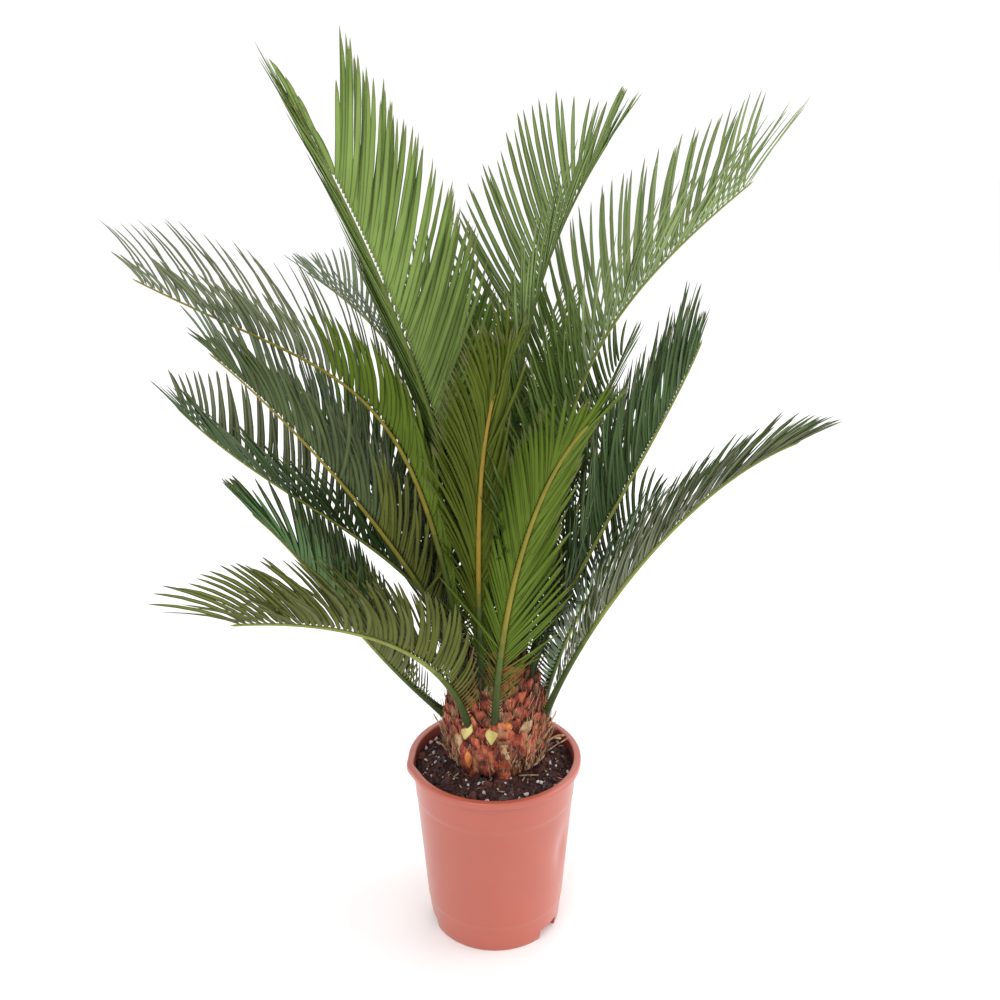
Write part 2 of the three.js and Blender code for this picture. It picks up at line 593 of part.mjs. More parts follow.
// One closed body: a three-sided rib with a blade grown out of its side faces.
function makeFrond(rib, owner) {
  const { frond, length } = rib;
  const { stations, leaflets, bare } = stationsOf(rib);
  const rings = stations.map((s) => ribSection(rib, s));
  const quad = (a, b, c, d) => [[a, b, c], [a, c, d]];
  const [l, r, k] = rings[0];
  const [lz, rz, kz] = rings.at(-1);
  const end = rib.frameAt(length);
  const point = end.place.clone().addScaledVector(end.ahead, frond.leaf * END_POINT);
  const ends = [[l, k, r], [lz, rz, point], [rz, kz, point], [kz, lz, point]];
  const inner = [];
  const sides = [];
  for (let i = 0; i + 1 < rings.length; i += 1) {
    const [l0, r0, k0] = rings[i];
    const [l1, r1, k1] = rings[i + 1];
    inner.push(quad(l0, r0, r1, l1));
    sides.push([quad(l0, l1, k1, k0), quad(r1, r0, k0, k1)]);
  }
  const ribGroups = [groupOf(ends), ...inner.map(groupOf), ...sides.flat().map(groupOf)];
  const bladeGroups = [];
  leaflets.forEach(({ s, u }, leaflet) => {
    const at = bare + 2 * leaflet;
    for (const row of [0, 1]) {
      const foot = [rings[at][row], rings[at + 1][row], rings[at][2], rings[at + 1][2]];
      const ownFace = ribGroups.findIndex(({ faces }) => faces === sides[at][row]);
      const ownGroups = [...ribGroups.slice(0, ownFace), ...ribGroups.slice(ownFace + 1), ...bladeGroups];
      const walls = growLeaflet(rib, owner, { s, u, hand: row === 0 ? 1 : -1, foot, ownGroups });
      if (!walls) continue;
      bladeGroups.push(groupOf(walls));
      sides[at][row] = row === 0 ? walls : walls.map(([a, b, c]) => [a, c, b]);
    }
  });
  const corners = new Map();
  const indexOf = (p) => {
    if (!corners.has(p)) corners.set(p, corners.size);
    return corners.get(p);
  };
  const faces = [...ends, ...inner.flat(), ...sides.flat(2)].map((face) => face.map(indexOf));
  return solidFromTriangles([...corners.keys()], faces);
}

// ---------------------------------------------------------------- caudex with its stalk sockets
function stalkSocket(rib) {
  const { stations, bare } = stationsOf(rib);
  const halfAngle = Math.atan2(0.5, RIB_FLAT + RIB_KEEL);
  const deeper = GAP / Math.sin(halfAngle);
  const wider = GAP / Math.cos(halfAngle) + GAP * Math.tan(halfAngle);
  const slices = bare;
  const corners = [];
  for (let i = 0; i <= slices; i += 1) {
    const { place, ahead, side, inward } = rib.frameAt(stations[i]);
    const w = ribWidth(stations[i], rib.length);
    const base = place.clone().addScaledVector(ahead, i === 0 ? -GAP : 0);
    corners.push(
      base.clone().addScaledVector(side, w / 2 + wider).addScaledVector(inward, w * RIB_FLAT + GAP),
      base.clone().addScaledVector(side, -w / 2 - wider).addScaledVector(inward, w * RIB_FLAT + GAP),
      base.clone().addScaledVector(inward, -w * RIB_KEEL - deeper),
    );
  }
  const faces = [[0, 2, 1]];
  for (let i = 0; i < slices; i += 1) {
    const a = 3 * i;
    const b = a + 3;
    for (const [p, q] of [[0, 1], [1, 2], [2, 0]]) faces.push([a + p, a + q, b + q], [a + p, b + q, b + p]);
  }
  const z = 3 * slices;
  faces.push([z, z + 1, z + 2]);
  return solidOf(solidFromTriangles(corners, faces));
}

function makeCaudex() {
  const profile = [[0, TRUNK_FOOT]];
  for (const [r, h] of TRUNK_PROFILE) profile.push([r, TRUNK_FOOT + h]);
  profile.push([0, TRUNK_FOOT + TRUNK_PROFILE.at(-1)[1] + 1]);
  let body = solidOf(turned(profile, TRUNK_SIDES).translate(TRUNK_X, TRUNK_Y, 0));
  for (const rib of ribs) body = body.subtract(stalkSocket(rib));
  return body;
}

const group = new THREE.Group();
group.name = 'sago_palm_in_pot';
group.add(named('pot', geometryOf(makePot()), POT_PLASTIC));
group.add(named('soil', geometryOf(makeSoil()), SOIL_DARK));
group.add(named('caudex', geometryOf(makeCaudex()), CAUDEX_BROWN));
ribs.forEach((rib, i) => group.add(named(rib.frond.name, makeFrond(rib, i), FROND_GREEN)));

export default group;
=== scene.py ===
"""Sago palm in a plastic nursery pot: fine leaflets, scaly trunk, crumbly soil and satin plastic."""
import json
import math
import random

import bmesh
import bpy
import numpy as np
from mathutils import Matrix, Vector, noise

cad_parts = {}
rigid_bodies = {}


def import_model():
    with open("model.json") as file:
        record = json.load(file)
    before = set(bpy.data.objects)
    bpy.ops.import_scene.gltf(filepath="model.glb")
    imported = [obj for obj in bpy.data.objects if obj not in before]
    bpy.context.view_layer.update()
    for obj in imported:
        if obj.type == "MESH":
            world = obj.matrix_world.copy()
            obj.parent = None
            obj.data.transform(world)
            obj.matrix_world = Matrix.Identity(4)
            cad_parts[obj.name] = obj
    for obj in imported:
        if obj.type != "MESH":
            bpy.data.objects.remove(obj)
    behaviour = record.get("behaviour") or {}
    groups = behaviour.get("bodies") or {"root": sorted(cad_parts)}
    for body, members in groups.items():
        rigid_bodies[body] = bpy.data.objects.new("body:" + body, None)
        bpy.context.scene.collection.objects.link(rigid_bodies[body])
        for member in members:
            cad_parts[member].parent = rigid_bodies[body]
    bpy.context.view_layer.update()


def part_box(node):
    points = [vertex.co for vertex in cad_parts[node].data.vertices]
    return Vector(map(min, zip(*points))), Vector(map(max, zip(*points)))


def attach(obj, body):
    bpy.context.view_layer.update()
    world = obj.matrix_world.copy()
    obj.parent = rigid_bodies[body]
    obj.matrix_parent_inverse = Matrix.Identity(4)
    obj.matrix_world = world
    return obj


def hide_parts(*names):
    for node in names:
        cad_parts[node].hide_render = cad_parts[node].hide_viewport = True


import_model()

MM = 0.001
UP = np.array([0.0, 0.0, 1.0])

# ------------------------------------------------------------------ sizes, in millimetres
POT_HEIGHT = 210
POT_BASE_RADIUS = 72.4
POT_LIP_RADIUS = 95
POT_WALL = 2.2
POT_FLOOR = 3
BAND_STEP_HEIGHT = 32
COLLAR_STEP_HEIGHT = 166
COLLAR_STEP = 0.5
LIP_DEPTH = 8
LIP_INNER_RADIUS = 87
LIP_EDGE_RADIUS = 2.6
FOOT_POCKET_ANGLES = (325, 195, 80)
FOOT_POCKET_HALF_WIDTH = 15
FOOT_POCKET_HEIGHT = 12
FOOT_POCKET_DEPTH = 9
POT_SIDES = 180
# direction, height, half width in degrees, half height and depth of the flats in the soft wall
DENTS = ((-26, 112, 10, 26, 3.6), (150, 120, 22, 45, 0.9), (60, 80, 20, 40, 1.0))
LIP_KINK = (192, 7, 2.6)  # direction, half width in degrees and reach outwards

SOIL_EDGE_HEIGHT = 197
SOIL_TOP_HEIGHT = 203
SOIL_RINGS = 44
SOIL_SIDE_LEVELS = 8
SOIL_LEVEL_REACH = 66  # where the soil starts to fall towards the wall
SOIL_UNDER_TRUNK = 45  # how far under the trunk nothing is strewn

TRUNK_X = 2
TRUNK_Y = 10
TRUNK_FOOT = 203.3
TRUNK_SIDES = 144
TRUNK_PROFILE = (
    (50, 0), (55, 10), (58, 32), (57, 48), (52, 64), (45, 84), (37, 104), (28, 122), (18, 136), (8, 143),
)
PROFILE_FULL = 60  # the radius that counts as 1 on the profile's curve
SCALE_HEIGHT = 30.0
SCALE_HALF_WIDTH = 10.5
SCALE_STEPS = 8
PAD_STEPS = 8
BRACT_TURN = 137.5  # degrees from one bract to the next
FOOT_RINGS = {"upper": (18, 326), "middle": (35, 300), "lower": (50, 250)}

STALK_WIDTH = 8
PALE_FOOT = 9
RIB_STEPS = 80
BARE_STALK = 0.12  # of the frond's length
BARE_END = 4
LEAFLET_WIDTH = 5.0
WIDTH_TO_LENGTH = 0.034
KEEL_TURN = 0.5  # part of the leafy rib over which the rows change from the foot's keel to the tip's
PRESSED_END = 0.7  # part over which leaflets pressed to the rib at the foot come free
SPIRE_RISE = 0.02  # part over which the last leaflets change to their own length
LOOSE_TURN = (6, 15)
SPINE_LENGTHS = (3.2, 7.5)
SPINE_WIDTH = 1.1

CAMERA_PLACE = (0.007, -1.2, 0.996)  # in metres
CAMERA_PITCH = 22  # degrees down
CAMERA_ROLL = -0.22
FOCAL_LENGTH = 1277  # in pixels of the picture's width
PICTURE_WIDTH = 1000
SENSOR_WIDTH = 36

# What a frond has where its own row says nothing else. Pairs are for the two rows of leaflets, or for
# foot and tip; slim is how far the narrow first leaflets go, their breadth and how far they splay.
USUAL_FROND = dict(
    turn=0, hold=(0.36, 0.36), fill=0.3, opens=(0, 0), pressed=(0, 0), rows=(1, 1), broad=(1, 1),
    shut=(0.82, 1, 26), spire=(1, 1), keels=((48, 48), (48, 48)), sweep=12, least=9, spacing=(4.6, 7.0),
    breadth=1, slim=(1, 1, 0), restless=1, loose=0.02, inner_to=0.4, rachis="lime", rib_end=1.7)


def frond(name, ring, start, to, reach, top, lean, nod, leaf, end, **own):
    """A frond's foot ring and direction, its tip's direction, reach and height, how far its foot and its
    tip turn from upright, its longest leaflet, and how much shorter the last leaflets are."""
    return dict(USUAL_FROND, name=name, ring=ring, start=start, to=to, reach=reach, top=top, lean=lean,
                nod=nod, leaf=leaf, end=end, **own)


# One row per frond, grown by the same rule as the solids.
FRONDS = [
    frond("front_centre", "middle", 245, 274, 145, 692, 4, 24, 132, 0.64, turn=50, hold=(0.5, 0.14),
          face=(270, 286), opens=(-38, -27), shut=(0.82, 0.95, 18), spire=(0.92, 2.0), least=4,
          keels=((34, 30), (48, 48)), sweep=(8, -20), spacing=(3.8, 5.2), slim=(0.3, 0.6, 6),
          finish="olive", rachis="amber", rib_end=2.8),
    frond("front_right", "lower", 268, 301, 163, 637, 6, 44, 102, 0.5, hold=(0.24, 0.33), face=(265, 280),
          fill=0.16, opens=(-32, -21), shut=(0.78, 0.9, 40), spire=(0.92, 1.8), least=3,
          keels=((16, 12), (48, 48)), sweep=(3, -3), spacing=(4.0, 5.2), slim=(0.34, 0.42, 16),
          finish="meadow", rachis="gold", rib_end=2.8),
    frond("top_left", "upper", 225, 212, 195, 910, 5, 30, 159, 0.1, hold=(0.4, 0.2), face=(238, 238),
          opens=(-14, -24), shut=(0.86, 0.865, 34), spire=(0.845, 0.33), least=3,
          keels=((48, 48), (38, 34)), sweep=5, spacing=(4.0, 4.6), loose=0, finish="fresh", inner="spring",
          rachis="shaded"),
    frond("top_centre", "upper", 320, 10, 110, 860, 6, 34, 150, 0.56, hold=(0.4, 0.4), face=(10, 10),
          opens=(1, -8), shut=(0.84, 0.94, 30), spire=(0.92, 1.35), least=4, keels=((48, 48), (26, 26)),
          sweep=6, spacing=(3.8, 6.4), finish="fresh_cool", inner="spring", inner_to=0.5, rachis="shaded"),
    frond("top_right", "upper", 15, 15, 262, 816, 16, 53, 148, 0.12, hold=(0.5, 0.5), face=(15, 15),
          opens=(-5, -3), shut=(0.84, 1, -4), sweep=7, spacing=(3.5, 6.6), breadth=0.78, finish="sunlit",
          inner="spring", inner_to=0.5),
    frond("arching_left", "middle", 208, 192, 326, 752, 8, 59, 135, 0.34, hold=(0.7, 0.42), face=(225, 192),
          pressed=(-64, -8), rows=(0.66, 1), shut=(0.85, 1, 8), sweep=14, spacing=(3.5, 8.2), breadth=0.62,
          broad=(1.6, 0.85), finish="silver", back="ash", inner="meadow", inner_to=0.62, rachis="gold"),
    frond("right_dark", "middle", 345, 355, 200, 680, 14, 18, 142, 0.62, hold=(0.22, 0.22),
          opens=(-20, -14), shut=(0.88, 1, 14), keels=((48, 48), (-6, 48)), sweep=7, spacing=(3.1, 4.3),
          breadth=0.68, restless=1.8, loose=0.06, finish="deep", rib_end=2.2),
    frond("right_low", "lower", 342, 350, 296, 590, 18, 64, 94, 0.3, hold=(0.26, 0.3), face=(330, 345),
          opens=(-26, -20), shut=(0.82, 1, 10), keels=((48, 48), (10, 36)), sweep=10, spacing=(3.3, 4.6),
          breadth=0.62, restless=2.3, loose=0.10, finish="deep", back="ash", rib_end=2.6),
    frond("left_upper", "middle", 186, 200, 268, 690, 12, 44, 124, 0.4, hold=(0.24, 0.3), face=(215, 200),
          opens=(-20, -4), rows=(0.74, 1.05), shut=(0.8, 1, 14), keels=((85, 70), (48, 48)), sweep=10,
          spacing=(4.2, 6.0), breadth=0.84, restless=1.7, loose=0.03, finish="dusk", back="misty",
          inner="bronze", rachis="gold"),
    frond("left_middle", "middle", 164, 172, 325, 595, 10, 42, 102, 0.4, opens=(-10, 12), shut=(0.8, 1, 24),
          keels=((60, 58), (48, 48)), sweep=7, spacing=(4.4, 6.8), breadth=0.94, restless=1.5,
          finish="deep", back="ash"),
    frond("left_lowest", "lower", 238, 205, 274, 430, 12, 84, 104, 0.08, hold=(0.5, 0.25), opens=(6, -4),
          pressed=(-20, 0), shut=(0.82, 1, 16), spire=(0.9, 1.12), sweep=15, spacing=(4.2, 6.4),
          breadth=1.02, slim=(0.24, 0.6, 6), loose=0.06, finish="bronze", rib_end=2.4),
    frond("left_lower", "lower", 180, 178, 246, 492, 48, 46, 105, 0.3, hold=(0.45, 0.3), opens=(4, -14),
          shut=(0.74, 0.82, 30), least=5, sweep=4, spacing=(3.8, 5.4), breadth=1.16, slim=(0.3, 0.5, 4),
          finish="emerald", back="deep", inner="bronze", inner_to=0.36, rib_end=2.2),
    frond("back_left_high", "upper", 160, 130, 330, 690, 6, 70, 92, 0.4, turn=15, hold=(0.4, 0.45), sweep=8,
          breadth=0.7, finish="misty"),
    frond("back_right", "middle", 40, 45, 205, 630, 10, 36, 110, 0.5, sweep=9, breadth=0.84,
          finish="bottle"),
    frond("back_high_right", "upper", 62, 76, 275, 640, 8, 56, 112, 0.4, finish="grass"),
    frond("back_high", "upper", 112, 112, 250, 705, 6, 50, 105, 0.4, opens=(-6, -6), finish="bottle"),
    frond("back_left", "middle", 140, 155, 240, 585, 12, 50, 105, 0.5, finish="bottle"),
    frond("back_low_right", "lower", 55, 58, 290, 525, 24, 62, 105, 0.5, finish="deep"),
    frond("back_low", "lower", 97, 95, 315, 500, 24, 66, 105, 0.5, finish="bronze"),
    frond("back_low_left", "lower", 137, 132, 300, 510, 24, 64, 105, 0.5, finish="grass"),
    frond("right_inner", "lower", 15, 18, 185, 485, 14, 42, 95, 0.5, breadth=0.84, finish="deep"),
]

# leaf finishes: blade colour (linear), roughness, gloss
LEAF_FINISHES = {
    "fresh": ((0.180, 0.264, 0.066), 0.55, 0.16),
    "fresh_cool": ((0.176, 0.256, 0.080), 0.55, 0.12),
    "sunlit": ((0.226, 0.300, 0.118), 0.55, 0.12),
    "silver": ((0.176, 0.210, 0.112), 0.50, 0.18),
    "grass": ((0.124, 0.170, 0.048), 0.50, 0.18),
    "spring": ((0.112, 0.182, 0.036), 0.55, 0.10),
    "meadow": ((0.098, 0.150, 0.018), 0.52, 0.10),
    "olive": ((0.084, 0.110, 0.014), 0.56, 0.08),
    "bottle": ((0.075, 0.130, 0.030), 0.45, 0.20),
    "emerald": ((0.078, 0.158, 0.046), 0.50, 0.14),
    "misty": ((0.134, 0.182, 0.110), 0.48, 0.30),
    "deep": ((0.058, 0.104, 0.032), 0.40, 0.30),
    "bronze": ((0.106, 0.122, 0.024), 0.50, 0.16),
    "dusk": ((0.076, 0.106, 0.038), 0.46, 0.30),
    "ash": ((0.136, 0.152, 0.084), 0.50, 0.24),
}
# Finishes whose margins get only a faint painted shade.
FAINT_MARGIN_SHADE = ("olive", "meadow", "fresh", "spring", "sunlit")
# Plain, lit and shaded copies of each blade colour: painted light and painted shade for leaflets that face
# the light differently.
BLADE_LIGHT_AND_SHADE = (1.0, 1.22, 0.76)


# ------------------------------------------------------------------ small helpers
def rad(degrees):
    return math.radians(degrees)


def clamp01(x):
    return min(max(x, 0.0), 1.0)


def ease(x):
    x = clamp01(x)
    return x * x * (3 - 2 * x)


def mix(a, b, t):
    return a + (b - a) * t


def blended(first, second, t):
    return tuple(mix(a, b, t) for a, b in zip(first, second))


def heading(degrees):
    return np.array([math.cos(rad(degrees)), math.sin(rad(degrees)), 0.0])


def unit(v):
    return v / np.linalg.norm(v)


def round_angles(sides):
    return [2 * math.pi * k / sides for k in range(sides)]


def turned_to(run, across, lift):
    """The turn that carries X, Y and Z to these three directions."""
    return Matrix((run, across, lift)).transposed().to_euler("XYZ")


def tube_faces(rows, sides, start=0, flip=False):
    """Faces between one ring of points and the next."""
    faces = []
    for row in range(rows):
        for k in range(sides):
            a = start + row * sides + k
            b = start + row * sides + (k + 1) % sides
            faces.append((a, b, b + sides, a + sides) if flip else (a, a + sides, b + sides, b))
    return faces


def fan_faces(middle, start, sides, flip=False):
    """Triangles from a ring of points to the point in its middle."""
    around = [(start + k, start + (k + 1) % sides) for k in range(sides)]
    return [(b, a, middle) if flip else (a, b, middle) for a, b in around]


def shell_faces(steps, flip=False):
    """A closed shell of two square grids of points, front and back, joined round the rim."""
    step = steps + 1
    back = step * step
    faces = []
    for r in range(steps):
        for c in range(steps):
            a = r * step + c
            faces.append((a, a + 1, a + 1 + step, a + step))
            faces.append((back + a, back + a + step, back + a + 1 + step, back + a + 1))
    last = steps * step
    for k in range(steps):
        for a, b in ((k, k + 1), (k * step + steps, (k + 1) * step + steps)):
            faces.append((a, back + a, back + b, b))
        for a, b in ((last + k, last + k + 1), (k * step, (k + 1) * step)):
            faces.append((a, b, back + b, back + a))
    return [(a, d, c, b) for a, b, c, d in faces] if flip else faces


def placed(name, mesh):
    """A new object of the scene that shows the mesh."""
    piece = bpy.data.objects.new(name, mesh)
    bpy.context.scene.collection.objects.link(piece)
    return piece


def solid(name, points, faces, smooth=True, size=MM):
    """A new object from faces and points, in millimetres where no other size is given."""
    mesh = bpy.data.meshes.new(name)
    mesh.from_pydata([tuple(float(c) * size for c in p) for p in points], [], faces)
    mesh.polygons.foreach_set("use_smooth", [smooth] * len(mesh.polygons))
    mesh.update()
    return placed(name, mesh)


def marked(piece, part):
    """Marks the faces of a shape for the finish that a tree gives them."""
    mesh = piece.data
    mesh.attributes.new("part", "INT", "FACE").data.foreach_set("value", [part] * len(mesh.polygons))
    return piece


def joined(name, pieces):
    """One object from several, with their material slots merged."""
    bpy.ops.object.select_all(action="DESELECT")
    for piece in pieces:
        piece.select_set(True)
    bpy.context.view_layer.objects.active = pieces[0]
    bpy.ops.object.join()
    pieces[0].name = name
    pieces[0].data.name = name
    pieces[0].select_set(False)
    return pieces[0]


def plain_mesh(piece):
    """Applies the piece's modifiers into its mesh, without the marks that its tree worked with."""
    bpy.context.view_layer.update()
    done = bpy.data.meshes.new_from_object(piece.evaluated_get(bpy.context.evaluated_depsgraph_get()))
    piece.modifiers.clear()
    piece.data = done
    done.name = piece.name
    for worked in ("aim", "length", "breadth", "bend", "kind", "size", "part", "along", "tone"):
        if worked in done.attributes:
            done.attributes.remove(done.attributes[worked])
    return piece


def belongs(piece, slot, *nodes):
    """The piece rides with the plant and stands for its solids, which it hides; the slot is not used."""
    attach(piece, "root")
    if nodes:
        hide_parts(*nodes)


# ------------------------------------------------------------------ materials
def principled(name, colour, roughness, specular=0.5):
    material = bpy.data.materials.new(name)
    material.use_nodes = True
    nodes = material.node_tree.nodes
    shader = nodes["Principled BSDF"]
    shader.inputs["Base Color"].default_value = (*colour, 1)
    shader.inputs["Roughness"].default_value = roughness
    shader.inputs["Specular IOR Level"].default_value = specular
    return material, nodes, material.node_tree.links, shader


def noise_field(nodes, links, scale, detail=3, stretch=(1, 1, 1), roughness=0.5):
    """Noise on the piece's own coordinates, stretched for fibres."""
    place = nodes.new("ShaderNodeTexCoord")
    mapping = nodes.new("ShaderNodeMapping")
    mapping.inputs["Scale"].default_value = stretch
    field = nodes.new("ShaderNodeTexNoise")
    field.inputs["Scale"].default_value = scale
    field.inputs["Detail"].default_value = detail
    field.inputs["Roughness"].default_value = roughness
    links.new(place.outputs["Object"], mapping.inputs["Vector"])
    links.new(mapping.outputs["Vector"], field.inputs["Vector"])
    return field.outputs["Fac"]


def colour_ramp(nodes, links, fac, stops):
    ramp = nodes.new("ShaderNodeValToRGB")
    elements = ramp.color_ramp.elements
    while len(elements) < len(stops):
        elements.new(0.5)
    for element, (at, colour) in zip(elements, stops):
        element.position = at
        element.color = (*colour, 1)
    links.new(fac, ramp.inputs["Fac"])
    return ramp.outputs["Color"]


def relief(nodes, links, shader, height, strength, distance):
    bump = nodes.new("ShaderNodeBump")
    bump.inputs["Strength"].default_value = strength
    bump.inputs["Distance"].default_value = distance
    links.new(height, bump.inputs["Height"])
    links.new(bump.outputs["Normal"], shader.inputs["Normal"])


def tinted(colour, amount):
    return tuple(min(c * amount, 1.0) for c in colour)


def leaf_finish(name, colour, roughness, gloss):
    material, nodes, links, shader = principled(name, colour, roughness, gloss)
    patches = noise_field(nodes, links, 22, detail=2)
    stops = ((0.3, tinted(colour, 0.86)), (0.55, colour), (0.75, tinted(colour, 1.15)))
    links.new(colour_ramp(nodes, links, patches, stops), shader.inputs["Base Color"])
    return material


def fibrous_finish(name, dark, light, scale=260):
    """Dry plant tissue with fibres that run up and down."""
    material, nodes, links, shader = principled(name, light, 0.8, 0.3)
    fibres = noise_field(nodes, links, scale, detail=5, stretch=(1, 1, 0.22), roughness=0.65)
    middle = tuple((a + b) / 2 for a, b in zip(dark, light))
    stops = ((0.32, dark), (0.5, middle), (0.68, light))
    links.new(colour_ramp(nodes, links, fibres, stops), shader.inputs["Base Color"])
    relief(nodes, links, shader, fibres, 0.6, 0.0012)
    return material


def mottled_finish(name, shades):
    """Moist and dry patches of bark that run on from scale to scale, under fine upright fibres, with painted
    shade in the low parts of the fibre relief.
    """
    material, nodes, links, shader = principled(name, shades[2], 0.74, 0.3)
    patches = noise_field(nodes, links, 85, detail=4, stretch=(1, 1, 0.6), roughness=0.6)
    base = colour_ramp(nodes, links, patches, tuple(zip((0.34, 0.43, 0.50, 0.57, 0.66), shades)))
    fibres = noise_field(nodes, links, 300, detail=5, stretch=(1, 1, 0.18), roughness=0.65)
    # Painted shade: the low parts of the fibre relief are darkened.
    shade = colour_ramp(nodes, links, fibres, ((0.34, (0.4, 0.4, 0.4)), (0.56, (1, 1, 1))))
    groove_shade = nodes.new("ShaderNodeMix")
    groove_shade.data_type = "RGBA"
    groove_shade.blend_type = "MULTIPLY"
    groove_shade.inputs["Factor"].default_value = 1
    links.new(base, groove_shade.inputs["A"])
    links.new(shade, groove_shade.inputs["B"])
    links.new(groove_shade.outputs["Result"], shader.inputs["Base Color"])
    relief(nodes, links, shader, fibres, 0.7, 0.0014)
    return material


def rachis_finish(name, colour, shade):
    material, nodes, links, shader = principled(name, colour, 0.45, 0.2)
    streaks = noise_field(nodes, links, 90, detail=3, stretch=(1, 1, 0.3))
    links.new(colour_ramp(nodes, links, streaks, ((0.3, shade), (0.7, colour))), shader.inputs["Base Color"])
    return material


def soil_finish(name, dark, light, roughness=0.9):
    material, nodes, links, shader = principled(name, dark, roughness, 0.4)
    grains = noise_field(nodes, links, 420, detail=6, roughness=0.7)
    links.new(colour_ramp(nodes, links, grains, ((0.35, dark), (0.75, light))), shader.inputs["Base Color"])
    relief(nodes, links, shader, grains, 0.8, 0.001)
    return material


def pot_finish(name, colour, roughness, gloss):
    """Moulded satin plastic: faint clouding, a few dust specks and a very fine grain."""
    material, nodes, links, shader = principled(name, colour, roughness)
    clouds = noise_field(nodes, links, 9, detail=3)
    base = colour_ramp(nodes, links, clouds, ((0.3, tinted(colour, 0.94)), (0.7, tinted(colour, 1.05))))
    specks = noise_field(nodes, links, 320, detail=1)
    mask = colour_ramp(nodes, links, specks, ((0.79, (0, 0, 0)), (0.81, (1, 1, 1))))
    blend = nodes.new("ShaderNodeMix")
    blend.data_type = "RGBA"
    blend.inputs["B"].default_value = (*tinted(colour, 0.45), 1)
    links.new(mask, blend.inputs["Factor"])
    links.new(base, blend.inputs["A"])
    links.new(blend.outputs["Result"], shader.inputs["Base Color"])
    grain = noise_field(nodes, links, 900, detail=2)
    relief(nodes, links, shader, grain, 0.06, 0.0004)
    shader.inputs["Coat Weight"].default_value = gloss
    shader.inputs["Coat Roughness"].default_value = 0.22
    return material


MIDRIB_YELLOW = (0.36, 0.42, 0.13)
POINT_BROWN = (0.16, 0.13, 0.08)
LEAF_MATERIALS = {}
for key, (colour, rough, gloss) in LEAF_FINISHES.items():
    # Each finish gets a plain blade and painted lit and painted shaded copies of it.
    blade, light, shaded = [
        leaf_finish(f"blade_{key}_{k}", tinted(colour, tone), rough, gloss)
        for k, tone in enumerate(BLADE_LIGHT_AND_SHADE)]
    # Margins are painted darker: painted shade for the turned-down edges and the gaps between neighbouring
    # leaflets.
    margin_shade = 0.6 if key in FAINT_MARGIN_SHADE else 0.42
    LEAF_MATERIALS[key] = dict(
        Blade=blade, Blade_Light=light, Blade_Shaded=shaded,
        Midrib=principled(f"midrib_{key}", blended(colour, MIDRIB_YELLOW, 0.5), 0.5, 0.2)[0],
        Margin=leaf_finish(f"margin_{key}", tinted(colour, margin_shade), rough, gloss),
        Point=principled(f"point_{key}", blended(colour, POINT_BROWN, 0.35), 0.6, 0.1)[0],
        Underside=leaf_finish(f"underside_{key}", tinted(colour, 1.1), rough + 0.1, gloss * 0.5))

STALK_COLOURS = ((0.030, 0.046, 0.008), (0.050, 0.078, 0.013), (0.092, 0.130, 0.022))
RACHIS_COLOURS = {
    "lime": (0.262, 0.292, 0.066), "gold": (0.260, 0.220, 0.030), "amber": (0.320, 0.215, 0.026),
    "shaded": (0.130, 0.175, 0.034),
}
RIB_TONE_COUNT = 9


def rib_tones(rachis_name, rachis_colour):
    """Finishes from the dark foot of a stalk to the colour of its rachis."""
    course = (*STALK_COLOURS, rachis_colour)
    tones = []
    for k in range(RIB_TONE_COUNT):
        at = k * (len(course) - 1) / (RIB_TONE_COUNT - 1)
        low = min(int(at), len(course) - 2)
        tone = blended(course[low], course[low + 1], at - low)
        tones.append(rachis_finish(f"rachis_{rachis_name}_{k}", tone, tinted(tone, 0.8)))
    return tones


RIB_TONES = {name: rib_tones(name, colour) for name, colour in RACHIS_COLOURS.items()}
STALK_PALE = rachis_finish("stalk_pale", (0.66, 0.55, 0.22), (0.40, 0.34, 0.10))
SPINE_TAN = principled("spine_tan", (0.56, 0.44, 0.26), 0.6)[0]
SCALE_TONES = {
    "red": mottled_finish("scale_red", (
        (0.100, 0.018, 0.013), (0.285, 0.046, 0.027), (0.500, 0.094, 0.049), (0.580, 0.160, 0.076),
        (0.430, 0.205, 0.110))),
    "brown": mottled_finish("scale_brown", (
        (0.060, 0.020, 0.013), (0.210, 0.062, 0.033), (0.360, 0.112, 0.060), (0.450, 0.228, 0.125),
        (0.580, 0.380, 0.235))),
    "maroon": mottled_finish("scale_maroon", (
        (0.034, 0.012, 0.008), (0.150, 0.032, 0.020), (0.300, 0.056, 0.034), (0.420, 0.100, 0.052),
        (0.300, 0.140, 0.080))),
    "straw": fibrous_finish("scale_straw", (0.260, 0.130, 0.060), (0.660, 0.460, 0.270)),
    "umber": fibrous_finish("scale_umber", (0.022, 0.010, 0.006), (0.110, 0.048, 0.028)),
}
TRUNK_TONE_ORDER = (
    "red", "maroon", "red", "brown", "red", "red", "maroon", "red", "brown", "red", "straw", "red",
)
CROWN_TONE_ORDER = ("red", "maroon", "umber", "red", "maroon", "brown")
PAD_ORANGE = fibrous_finish("scale_orange", (0.300, 0.060, 0.015), (0.740, 0.280, 0.080))
HUSK_TAN = fibrous_finish("husk_tan", (0.26, 0.14, 0.07), (0.62, 0.42, 0.25), scale=320)
HUSK_BROWN = fibrous_finish("husk_brown", (0.090, 0.040, 0.022), (0.300, 0.160, 0.090), scale=320)
BRACT_BROWN = fibrous_finish("bract_brown", (0.024, 0.016, 0.008), (0.120, 0.075, 0.034), scale=320)
TRUNK_DARK = fibrous_finish("trunk_dark", (0.050, 0.014, 0.009), (0.240, 0.080, 0.045))
SOIL_DARK = soil_finish("soil_dark", (0.016, 0.006, 0.007), (0.092, 0.038, 0.034))
SOIL_BROWN = soil_finish("soil_brown", (0.034, 0.011, 0.009), (0.185, 0.066, 0.048))
